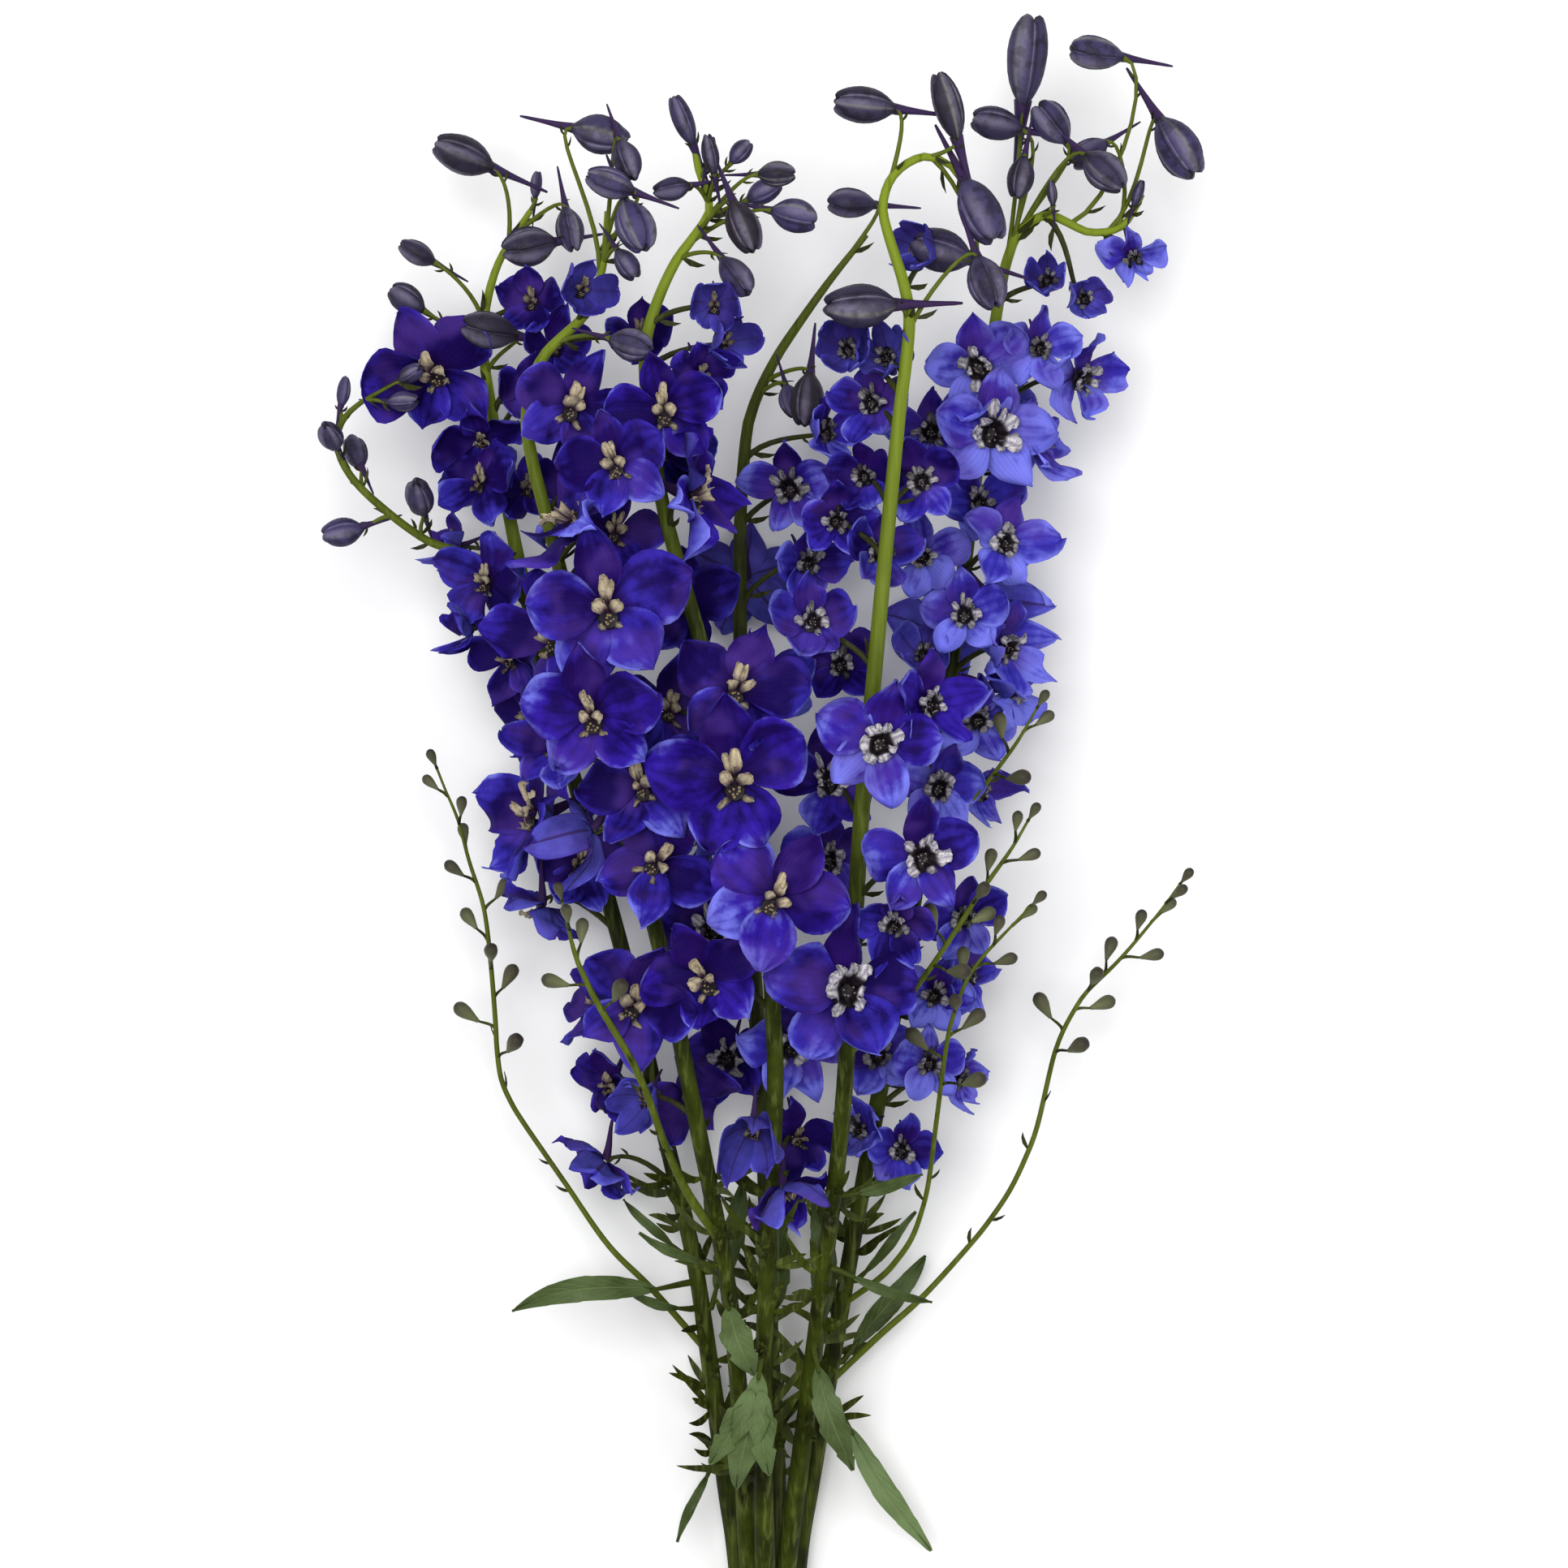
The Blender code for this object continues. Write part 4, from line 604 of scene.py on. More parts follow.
def outline(flower):
    """Lines that stand for a flower when it is kept clear of others, each with a half width."""
    centre, size = flower.centre, flower.size
    stalk = [flower.base.lerp(centre, f) for f in STALK_POINTS]
    lines = [(stalk, PEDICEL_RADIUS)]
    if flower.kind != "open":
        bud = [centre + flower.facing * size * f for f in BUD_POINTS]
        return lines + [(bud, BUD_HALF * size)]
    across = flower.up.cross(flower.facing)
    spur = flower.up * SPUR_WAY[0] + flower.facing * SPUR_WAY[1]
    lines.append(([centre + spur * size * f for f in SPUR_POINTS], SPUR_HALF))
    for k in range(RAYS):
        angle = math.radians((k + 0.5) * 360 / RAYS)
        ray = flower.up * math.cos(angle) + across * math.sin(angle)
        rim = [ray * f + flower.facing * flower.cup * f * f for f in RAY_POINTS]
        lines.append(([centre + way * size for way in rim], RAY_HALF))
    return lines


def pierces(flower, line, gap, grow):
    """Whether a line of points passes through a flower's bowl, or within a gap of it."""
    before = None
    for point in line:
        off = point - flower.centre
        front = off.dot(flower.facing)
        radial = (off - flower.facing * front).length
        height = front - flower.cup * radial**2 / flower.size
        inside = radial < flower.size * grow
        if inside and abs(height) < gap:
            return True
        if before and (inside or before[1]) and height * before[0] < 0:
            return True
        before = (height, inside)
    return False


def near_lines(a, b):
    """Whether two lists of outlines come closer than their half widths."""
    return any(
        (p - q).length < width + other_width + CLEARANCE
        for line, width in a for p in line for other_line, other_width in b for q in other_line
    )


def clashes(flower, others, tubes, own_share):
    """Whether a flower runs into another, or into a stem. Its own spike's count by a share."""
    mine = outline(flower)
    reach = (flower.base - flower.centre).length + FLOWER_REACH * flower.size
    for other in others:
        own = other.spike == flower.spike
        if own and not own_share:
            continue
        if (other.centre - flower.centre).length > reach + OTHER_REACH * other.size:
            continue
        grow = own_share if own else 1.0
        theirs = outline(other)
        for bowl, lines in ((flower, theirs), (other, mine)):
            if bowl.kind == "open" and any(
                pierces(bowl, line, width + PETAL_THICKNESS + CLEARANCE, grow)
                for line, width in lines
            ):
                return True
        if not own and near_lines(mine[:2], theirs[:2]):
            return True
    for owner, points, radius in tubes:
        near = [p for p in points if (p - flower.centre).length < reach + STEM_REACH]
        if owner == flower.spike or not near:
            continue
        if flower.kind == "open" and pierces(flower, near, radius + PETAL_OFF_STEM, 1.0):
            return True
        if near_lines(mine[:2], [(near, radius + STALK_OFF_STEM)]):
            return True
    return False


def plan():
    """The lines of the stems and shoots, and every flower and bud in its place."""
    lines = {s.name: Line(smooth(s.path), STEM_RADIUS, TIP_RADIUS) for s in SPIKES}
    for shoot in SHOOTS:
        lines[shoot.name] = shoot_line(shoot, lines)
    tubes = [
        (name, [line.at(s)[0] for s in line.samples(STEP_CLEAR)], line.radius(line.length / 2))
        for name, line in lines.items()
    ]
    rng = random.Random(PLAN_SEED)
    flowers = [
        shoot_bud(shoot, lines[shoot.name], i, rng) for shoot in SHOOTS for i in range(shoot.buds)
    ]
    for spike in SPIKES:
        line = lines[spike.name]
        for place, rows in ((front_flower, spike.open), (front_bud, spike.buds)):
            for row in rows:
                tries = (place(spike, line, row, shift, scale) for shift, scale in SHIFTS)
                flowers += [f for f in tries if not clashes(f, flowers, tubes, 0.0)][:1]
    for spike in SPIKES:
        for i in range(spike.behind[0]):
            chance = [rng.uniform(-1, 1) for _ in range(3)]
            tries = (back_flower(spike, lines[spike.name], i, *t, chance) for t in TURNS)
            flowers += [f for f in tries if not clashes(f, flowers, tubes, OWN_SHARE)][:1]
    return lines, flowers


def above_floor(point):
    """Petals that would pass through the surface are pressed up along it instead."""
    reach = SOFT_REACH * FLOOR_SOFTNESS
    if point.z > reach:
        return point
    risen, least = (
        FLOOR_SOFTNESS * math.log1p(math.exp(z / FLOOR_SOFTNESS)) for z in (point.z, PRESSED_FLAT)
    )
    sunk = least * min(1.0, 1 - point.z / reach)
    return Vector((point.x, point.y, max(risen - sunk, 0.0)))


def frame_of(flower):
    """Local X across the flower, Y to its upper sepal and Z out of its face."""
    across = flower.up.cross(flower.facing)
    turned = Matrix((across, flower.up, flower.facing)).transposed().to_4x4()
    return Matrix.Translation(flower.centre) @ turned


# The five sepals, from the upper one round: direction in degrees, reach and half width as shares
# of the flower's radius, how sharp the tip is, how purple, and how light.
SEPALS = (
    (90, 1.02, 0.33, 1.05, 0.9, -0.25),
    (166, 1.0, 0.46, 0.62, 0.3, -0.04),
    (240, 0.98, 0.37, 0.85, 0.05, 0.22),
    (300, 0.98, 0.37, 0.85, 0.05, 0.2),
    (14, 1.0, 0.46, 0.62, 0.3, -0.08),
)

# How far each sepal goes its own way, how it leans, curls, hollows and twists, how far the whole
# flower tilts, in radians, and the blade's own shape with its ruffle, dimples and keel.
ANGLE_STRAY = (-12, 12)
REACH_STRAY = (0.91, 1.04)
HALF_STRAY = (0.84, 1.08)
POINT_STRAY = (0.9, 1.15)
PURPLE_STRAY = (0.6, 1.1)
LEAN = (-0.12, 0.28)
CURL = (-0.5, 0.25)
CHANNEL = (-0.6, 0.7)
TWIST = (-0.5, 0.5)
TILT = 0.22
SEPAL_TILT = 0.1
SEPAL_FOOT = 0.05
CURL_POWER = 4
CLAW = 0.85
RUFFLE = 0.2
RUFFLE_WAVES = (40, 7, 2.4)
DIMPLE = 0.26
DIMPLE_SCALE = (2.6, 3, 9)
KEEL = 0.02
KEEL_HALF = 0.22
SEPAL_ROWS = 13
SEPAL_COLUMNS = 10
SEPAL_THICKNESS = 0.00045

# From which cup on a flower is partly closed, how much more closes it, and what changes in its
# sepals as it closes.
CLOSED_FROM = 0.45
CLOSED_OVER = 0.4
CLOSED_WIDER = 0.15
CLOSED_LIFT = 0.2
CLOSED_SHORTER = 0.34
CLOSED_DARKER = 0.2
CLOSED_PURPLE = 0.2
MOST_PURPLE = 1.1

# A petal's third mark is under 1 on its front and 2 more on its back, and says how much it is
# painted as a back. A mostly closed flower has a mark between the two on its fronts.
FRONT_MARK = 0.9
SEPAL_MARK = 0.02
BACK_MARK = 2
BACK_MARKS = (1.3, 1.7)
MOSTLY_CLOSED = 0.6
CLOSED_MARK = (1.3, 0.25)

# The spur behind, of a flower and of a bud: its curve's four handles, and its radii.
SPUR = ((0, 0.02, -0.04), (0, 0.2, -0.35), (0, 0.45, -0.5), (0, 0.56, -0.72))
SPUR_RADII = (0.1, 0.085, 0.07, 0.058, 0.048, 0.04, 0.034, 0.025)
BUD_SPUR = ((0, 0.04, 0.05), (0, 0.1, -0.3), (0, 0.1, -0.7), (0, 0.16, -1.04))
BUD_SPUR_RADII = (0.11, 0.092, 0.074, 0.06, 0.05, 0.042, 0.036, 0.032, 0.02)
SPUR_SIDES = 9
SPUR_PURPLE = 2.0

# The inner petals, of a cream kind and a white kind. Each pair of petals is given by its foot,
# tip, half width, bend and shade; the throat by its place and how wide it is.
Petal = namedtuple("Petal", "foot tip half bend shade")
Bee = namedtuple("Bee", "white petals stray ragged throat_y throat_wide")
CREAM_BEE = Bee(
    0.0,
    (
        Petal((0.015, 0.02, 0.1), (0.055, 0.4, 0.3), 0.068, 0.05, 0.0),
        Petal((0.03, -0.08, 0.08), (0.18, 0.1, 0.26), 0.095, 0.1, 0.2),
        Petal((0.05, -0.22, 0.05), (0.19, -0.3, 0.13), 0.05, 0.04, 0.45),
    ),
    0.045, 0.08, -0.16, 1.0,
)
WHITE_BEE = Bee(
    1.0,
    (
        Petal((0.03, 0.05, 0.1), (0.09, 0.42, 0.3), 0.075, 0.07, 0.1),
        Petal((0.06, 0.02, 0.09), (0.3, 0.25, 0.26), 0.1, 0.09, 0.05),
        Petal((0.07, -0.06, 0.08), (0.38, -0.06, 0.22), 0.12, 0.09, 0.0),
        Petal((0.05, -0.12, 0.08), (0.22, -0.34, 0.18), 0.1, 0.07, 0.15),
    ),
    0.09, 0.28, -0.05, 1.7,
)
WHITE_BEES = ("spike_front_right", "spike_right", "spike_middle")

# The inner petals grow less with the flower than its sepals do, and are small in a young one, and
# painted dark there with painted shade, as they lie hidden in its half-closed sepals.
BEE_SHARE = 0.6
BEE_CONSTANT = 0.0085
BEE_RIPE = 0.0225
BEE_YOUTH = 0.007
YOUNG_SMALLER = 0.3
YOUNG_SHADE = 0.55
BEE_SIZE = (0.88, 1.06)
BEE_RISE = 0.05
BEE_REACH = (0.72, 1.14)
BEE_TURN = 0.3
BEE_WIDTH = (0.65, 1.2)
BEE_PHASE = (0, 6)
BEE_ROUND = (0.55, 0.42)
BEE_WIDEST = 0.515
BEE_RAGS = (11, 3)
BEE_RUFFLE = 0.08
BEE_RUFFLES = (7, 4)
BEE_NOTCH = 0.18
BEE_NOTCH_HALF = 0.3
BEE_NOTCH_POWER = 6
BEE_CHANNEL = 0.4
BEE_SHADE = (0, 0.38)
BEE_THICKNESS = 0.00035
BEE_ROWS = 9
BEE_COLUMNS = 8
THROAT = ((-0.02, 0), (0.02, 0.1), (0.07, 0.14), (0.1, 0.12), (0.09, 0.05), (0.08, 0))
THROAT_SIDES = 12
STAMENS = 7
STAMEN_STRAY = 0.3
STAMEN_OUT = (0.02, 0.085)
STAMEN_UP = (0.13, 0.2)
ANTHER = ((-0.02, 0), (-0.012, 0.016), (0.008, 0.02), (0.022, 0))
ANTHER_SIZE = (0.7, 1.1)
ANTHER_SIDES = 6
ANTHER_SHADE = 0.75

# Buds, as heights and radii in shares of their length. A violet one is as slim as its range says,
# and slimmer where it stands up at the stem's tip; its tip is blunt, with parted folds.
BUD_PROFILE = (
    (-0.06, 0), (-0.03, 0.07), (0.04, 0.13), (0.13, 0.205), (0.24, 0.27), (0.36, 0.31),
    (0.48, 0.325), (0.6, 0.32), (0.72, 0.295), (0.83, 0.26), (0.92, 0.215), (0.98, 0.17),
    (1.0, 0.115), (0.96, 0.05), (0.9, 0),
)
BUD_SLIM = (0.86, 1.06)
SLIM_BUD = 0.62
UPRIGHT = 0.85
BUD_BLUNT = (-0.3, 1.0)
BLUNT_SWELL = 0.45
BLUNT_FROM = 0.45
BUD_FOLD = 0.34
BUD_FOLDS = (3, 4)
BUD_PARTED = 0.16
PARTED_FROM = 0.6
FOLD_TIP = 0.6
BUD_TURN = (0, 6)
BUD_SIDES = 36
GREEN_BUD_PROFILE = (
    (-0.1, 0), (-0.05, 0.07), (0.1, 0.11), (0.3, 0.175), (0.5, 0.235), (0.7, 0.26), (0.85, 0.235),
    (0.95, 0.16), (1.0, 0.08), (0.98, 0),
)
GREEN_BUD_FOLD = 0.16
GREEN_BUD_FOLDS = 5
GREEN_BUD_SIDES = 15

# Stalks by what they carry: radius; the share of its reach over which one arrives straight; how
# far behind the flower's middle it ends, as a share of the flower; how much wider it ends; look.
Stalk = namedtuple("Stalk", "radius arrive sunk end look")
STALKS = {
    "open": Stalk(PEDICEL_RADIUS, 0.3, 0.04, 1.8, (0.6, 0.08, 0.0)),
    "bud": Stalk(0.0007, 0.22, 0.0, 1.8, (0.25, 0.4, 0.0)),
    "green_bud": Stalk(0.0005, 0.22, 0.0, 1.1, (0.25, 0.0, 0.0)),
}
STALK_LEAVE = 0.45
STALK_STEPS = 9
STALK_TAPER = (1.35, 0.5)
STALK_SIDES = 8

# Bracts: the range of the lowest one's length, the others as step, length and side, and shape.
LOW_BRACT = (0.006, 0.012)
HIGH_BRACTS = ((6, 0.005, 1), (7, 0.0045, -1))
BRACT_SLANT = 0.2
BRACT_WAY = (0.6, 0.8)
BRACT_HALF = 0.11
BRACT_POWER = 0.7
BRACT_BOW = 0.12
BRACT_LOOK = (0.5, 0.0, 0.0)
BRACT_ROWS = 5
THIN = 0.0003
THIN_COLUMNS = 2

# Stems and side shoots. No line runs along the direction that their rings start from.
OFF_ALL_LINES = (0.02, 0.1, 1)
STEM_STEP = 0.004
STEM_SIDES = 16
STEM_RIBS = 0.04
HOLLOW_DEPTH = 0.005
HOLLOW_RADII = (0.72, 0.66)
HOLLOW_PITH = 0.3
SHARP_EDGE = math.radians(60)
SHOOT_STEP = 0.003
SHOOT_SIDES = 9
SHOOT_BRACT_PLACES = (0.32, 0.37, 0.5, 0.58)
SHOOT_BRACT = (0.005, 0.009)

# The wisps low on the stems: how many, where along +Y, at which angles, and their shape.
WISPS = 20
WISP_Y = (118, 240)
WISP_ANGLE = (-60, 240)
WISP_SUNK = 0.8
WISP_LENGTH = (0.011, 0.026)
WISP_FORKS = (0, 25, -30)
WISP_FORK_SHARE = 0.7
WISP_FORWARD = (0.1, 1.3)
WISP_BOW = (-0.16, 0.12)
WISP_WIDTH = 0.0014
WISP_ROUND = (0.1, 0.8)
WISP_SLANT = 0.1
WISP_LOOK = (0.1, 0.03, 0.0)
WISP_ROWS = 8

# Leaves: the bare petiole's share of a leaf, the blade's shape in shares of its width, how it
# sways to the side, and the side lobes as shares of the middle one.
PETIOLE_SHARE = 0.2
PETIOLE_REACH = 1.25
PETIOLE_RADIUS = 0.0009
PETIOLE_TAPER = (1.5, 0.7)
PETIOLE_STEPS = 6
LEAF_FOOT = 0.17
LEAF_HALF = 0.52
LEAF_ROUND = (0.85, 0.7)
LEAF_CHANNEL = 0.22
LEAF_KEEL = 0.05
LEAF_KEEL_HALF = 0.12
LEAF_RUFFLE = 0.06
LEAF_RUFFLES = (13, 9)
LEAF_SWAY = 0.05
LEAF_SWAYS = (2.6, 20)
LEAF_ROWS = 40
LEAF_COLUMNS = 10
LEAF_THICKNESS = 0.0005
LOBE_FOOT = 0.8
LOBE_REACH = 0.72
LOBE_ARCH = 0.5
LOBE_WIDTH = 0.8
LOBE_SEED = 0.003

# How deep a leaf's teeth are and how many there are on a side, how much later they come on the
# other side, how grey the leaf is, which is partly its own grey-green and partly painted shade that
# keeps a leaf lying in shadow dark green, and which leaf bows to the side, and how.
LEAF_TEETH = {
    "leaf_front": (0.35, 3), "leaf_centre": (0.3, 3), "leaf_front_right": (0.25, 3.5),
    "leaf_inner_right": (0.3, 4), "leaf_inner_left": (0.3, 4),
}
PLAIN_TEETH = (0.08, 4)
TOOTH_LATER = 0.04
TOOTH_POWER = 3
LEAF_SHADE = {
    "leaf_front": 0.42, "leaf_long_right": 0.8, "leaf_arched_left": 0.28, "leaf_centre": 0.4,
    "leaf_front_right": 0.25, "leaf_upright_right": 0.12,
}
PLAIN_SHADE = 0.15
LEAF_BOW = {"leaf_arched_left": 0.14}
BOW_CURVE = (1.9, -2.4)

# The band round the stems, and how many points it has round each corner of the stack.
BAND_TURNS = 3
BAND_PITCH = 0.0024
BAND_WIDE = 0.0022
BAND_THICK = 0.0013
BAND_SLANT = 0.0004
BAND_SIDES = 8
CORNER_POINTS = 10
CORNER_ARC = 120

# How much painted light or shade each spike's flowers get, for where they lie in the lamps' light
# and the other stems' shadow, and how blue they are; how far each flower and each sepal strays from
# that;
# and how much lighter with painted light the flowers lying higher are, and darker with painted
# shade the deeper ones.
SPIKE_PAINTED_LIGHT = {
    "spike_front_right": 0.08, "spike_centre_left": -0.06, "spike_left": -0.1, "spike_right": 0.86,
    "spike_far_left": 0.1, "spike_middle": 0.5,
}
SPIKE_BLUE = {
    "spike_front_right": 0.35, "spike_centre_left": 0.2, "spike_left": 0.15, "spike_right": 0.5,
    "spike_far_left": 0.4, "spike_middle": 0.4,
}
FLOWER_LIGHT = (-0.2, 0.2)
FLOWER_BLUE = (-0.3, 0.3)
SEPAL_LIGHT = (-0.16, 0.16)
DEPTH_LIGHT = 0.9
DEPTH_REACH = 0.14
DEPTH_MIDDLE = 0.6

# Where on its length a stem turns yellow-green, as a start, an end and how far, and how violet.
STEM_BRIGHT = {
    "spike_front_right": (0.5, 0.92, 0.85), "spike_left": (0.72, 0.95, 0.8),
    "spike_centre_left": (0.7, 0.9, 0.85), "spike_right": (0.68, 0.88, 0.8),
    "spike_far_left": (0.7, 0.9, 0.75), "spike_middle": (0.75, 1.0, 0.35),
}
STEM_VIOLET = {"spike_middle": 0.3}
PLAIN_VIOLET = 0.06
SHOOT_LOOK = (0.15, 0.3, 0.0)

# Colours.
# The sepals' deep and bright ends are reached by a random tone and by painted light and shade; the
# bright one is a painted highlight as well.
SEPAL_DEEP = (0.0055, 0.0018, 0.06)
SEPAL_VIOLET = (0.028, 0.01, 0.3)
SEPAL_BLUE = (0.043, 0.04, 0.42)
SEPAL_BRIGHT = (0.2, 0.215, 0.8)
SEPAL_PURPLE_COLOUR = (0.023, 0.005, 0.115)
SEPAL_VEIN = (0.012, 0.003, 0.13)
SEPAL_BLUSH = (0.075, 0.032, 0.25)
# Painted shade at a sepal's foot, by the throat.
SEPAL_FOOT_SHADE = (0.01, 0.002, 0.05)
SEPAL_BACK = (0.1, 0.1, 0.5)
SPUR_COLOUR = (0.03, 0.014, 0.06)
BEE_CREAM = (0.52, 0.44, 0.28)
BEE_PALE = (0.66, 0.64, 0.66)
BEE_STREAK = (0.07, 0.035, 0.12)
# A dark foot on the inner petals, partly their own brown and partly painted shade.
BEE_FOOT_BROWN_AND_SHADE = (0.05, 0.018, 0.05)
BEE_DARK = (0.006, 0.003, 0.006)
ANTHER_COLOUR = (0.2, 0.14, 0.07)
BUD_DUSK = (0.02, 0.016, 0.025)
BUD_VIOLET = (0.05, 0.04, 0.115)
# A painted highlight along the buds' ridges.
BUD_RIDGE_HIGHLIGHT = (0.24, 0.21, 0.32)
BUD_RIB = (0.24, 0.25, 0.17)
BUD_TIP = (0.016, 0.012, 0.015)
# Painted shade in the buds' creases, and their dark spots by chance.
BUD_DARK = (0.009, 0.007, 0.011)
GREEN_BUD_FOOT = (0.14, 0.15, 0.07)
GREEN_BUD_TIP = (0.032, 0.028, 0.02)
GREEN_BUD_BROWN = (0.03, 0.02, 0.022)
STEM_OLIVE = (0.038, 0.053, 0.003)
STEM_DARK = (0.009, 0.012, 0.001)
STEM_LIME = (0.21, 0.28, 0.02)
STEM_LIGHT = (0.12, 0.15, 0.03)
STEM_VIOLET_COLOUR = (0.02, 0.012, 0.014)
STEM_PITH = (0.4, 0.44, 0.25)
LEAF_GREEN = (0.026, 0.042, 0.004)
LEAF_GREY = (0.15, 0.22, 0.085)
LEAF_VEIN = (0.16, 0.21, 0.08)
BAND_TAN = (0.5, 0.33, 0.16)
BAND_BROWN = (0.4, 0.25, 0.11)
FLOOR_COLOUR = (0.92, 0.92, 0.92)
FLOOR_OTHER = (0.9, 0.9, 0.9)

# Ramps of the paints: the two ends of a range, and the amounts there, 0 and 1 if they aren't
# named. Those of one paint stand together.
# The sepals' painted light: lighter tips, edges and one rim.
SEPAL_TIP_LIGHT = (0.5, 1.0, 0.0, 0.3)
SEPAL_EDGE_LIGHT = (0.5, 1.0, 0.0, 0.14)
SEPAL_RIM_LIGHT = (0.55, 0.98, 0.0, 0.3)
DEEP_TO_FULL = (0.05, 0.62)
FULL_TO_BRIGHT = (0.55, 1.15)
FLUSH_CLOUDS = (0.35, 0.65, 1.0, 0.5)
FLUSH_ALONG = (0.2, 1.0, 1.0, 0.6)
VEINS_ALONG = (0.1, 1.0, 0.15, 0.03)
BLUSH_CLOUDS = (0.46, 0.66, 0.0, 0.5)
# Painted shade at a sepal's foot.
FOOT_SHADE_ALONG = (0.3, 0.02, 0.0, 0.9)
BACK_CLOUDS = (0.3, 0.7, 0.25, 0.7)
BACK_RIB = (0.13, 0.02, 0.0, 0.8)
SPUR_FROM = (1.3, 1.7)
BEE_STREAK_KIND = (0, 1, 0.3, 0.6)
BEE_CLOUDS = (0.5, 0.72, 0.0, 0.6)
BEE_FOOT_ALONG = (0.5, 0.08)
BEE_INNER = (0.52, 0.3)
POLLEN_ALONG = (0.2, 0.7, 0.0, 0.8)
POLLEN_KIND = (0, 1, 1.0, 0.35)
# The buds' painted highlight along their ridges.
BUD_RIDGE_LAP = (0.3, 0.0)
BUD_RIDGE_ALONG = (0.1, 0.5, 0.1, 0.75)
BUD_RIDGE_CLOUDS = (0.35, 0.65, 0.35, 1.0)
BUD_RIB_LAP = (0.1, 0.01, 0.0, 0.4)
BUD_RIB_SEEDS = (0.3, 0.9)
# Painted shade in the creases between a bud's folds.
BUD_CREASE_SHADE = ((0.1, 0.0, 0.0, 0.7), (0.94, 1.0, 0.0, 0.7))
BUD_ENDS = ((0.78, 0.95, 0.0, 0.85), (0.2, 0.05, 0.0, 0.85))
BUD_CLOUDS = (0.45, 0.62, 0.0, 0.6)
GREEN_BUD_ALONG = (0.2, 0.95)
STEM_CLOUDS = (0.3, 0.7)
STEM_LIGHT_STREAKS = (0.48, 0.7, 0.0, 0.55)
STEM_VIOLET_STREAKS = (0.35, 0.6, 0.5, 1.0)
STEM_DARK_STREAKS = (0.45, 0.25, 0.0, 0.5)
LEAF_RIB = (0.14, 0.0)
NOISE_MIDDLE = (0.3, 0.7)
NOISE_ROUGH = 0.55

# How much some layers of the paints count, how their stripes run, and how high they stand.
SEPAL_CLOUD_LIGHT = 1.7
# Fold lines painted lighter and darker across the sepals, as painted light and shade.
SEPAL_FOLDS = (6.5, 1.2)
SEPAL_FOLD_MIDDLE = 0.55
SEPAL_FOLD_LIGHT = 0.15
SEPAL_VEINS = (16.0, 9.0)
BEE_STREAKS = (3.0, 2.5)
STRIPE_WAVER = 2.0
BUD_RIDGE_MIDDLE = 0.62
GREEN_BUD_SHADE = 0.5
LEAF_CLOUD_SHADE = 0.9
LEAF_VEINS = (26.0, 7.0, 14.0)
LEAF_VEIN_SHARE = 0.3
LEAF_LINES = 0.4
SEPAL_GRAIN_HEIGHT = 0.5
SEPAL_VEIN_HEIGHT = 0.35
BUD_CLOUD_HEIGHT = 2.0
LEAF_GRAIN_HEIGHT = 0.6

# The studio, in metres and watts, and the photograph's view: straight down on the laid bunch.
FLOOR_SIZE = 8
FLOOR_PLACE = (0, 0.35, -0.0003)
WORLD_STRENGTH = 0.36
AIM = (0, 0.4, 0.05)
LIGHTS = (("key", (-0.45, 0.75, 2.3), 2.0, 56), ("fill", (1.5, 0.3, 1.7), 1.4, 15))
VIEW_X = 0.0063
VIEW_Y = 0.3837
VIEW_Z = 0.06
VIEW_DISTANCE = 2.0
VIEW_WIDTH = 0.58


# Meshes in the making.

class Shape:
    """Closed parts of one piece, each point with a mark (where on its part) and a look."""

    def __init__(self):
        self.points = []
        self.faces = []
        self.marks = []
        self.looks = []

    def add(self, points, faces, marks, look, pressed=True):
        first = len(self.points)
        if pressed:
            self.points += [above_floor(p) for p in points]
        else:
            self.points += [Vector((p.x, p.y, max(p.z, 0.0))) for p in points]
        self.faces += [tuple(first + i for i in face) for face in faces]
        self.marks += marks
        self.looks += [look] * len(points) if isinstance(look, tuple) else look

    def finish(self, name, paint, slot, *nodes):
        """The piece, riding on the bunch, in place of the nodes named."""
        mesh = bpy.data.meshes.new(name)
        mesh.from_pydata(self.points, [], self.faces)
        for title, values in (("mark", self.marks), ("look", self.looks)):
            layer = mesh.attributes.new(title, "FLOAT_VECTOR", "POINT")
            layer.data.foreach_set("vector", [x for value in values for x in value])
        bm = bmesh.new()
        bm.from_mesh(mesh)
        bmesh.ops.recalc_face_normals(bm, faces=bm.faces)
        bm.to_mesh(mesh)
        bm.free()
        mesh.shade_smooth()
        mesh.set_sharp_from_angle(angle=SHARP_EDGE)
        mesh.materials.append(paint)
        piece = bpy.data.objects.new(name, mesh)
        bpy.context.scene.collection.objects.link(piece)
        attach(piece, "root")
        if nodes:
            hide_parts(*nodes)


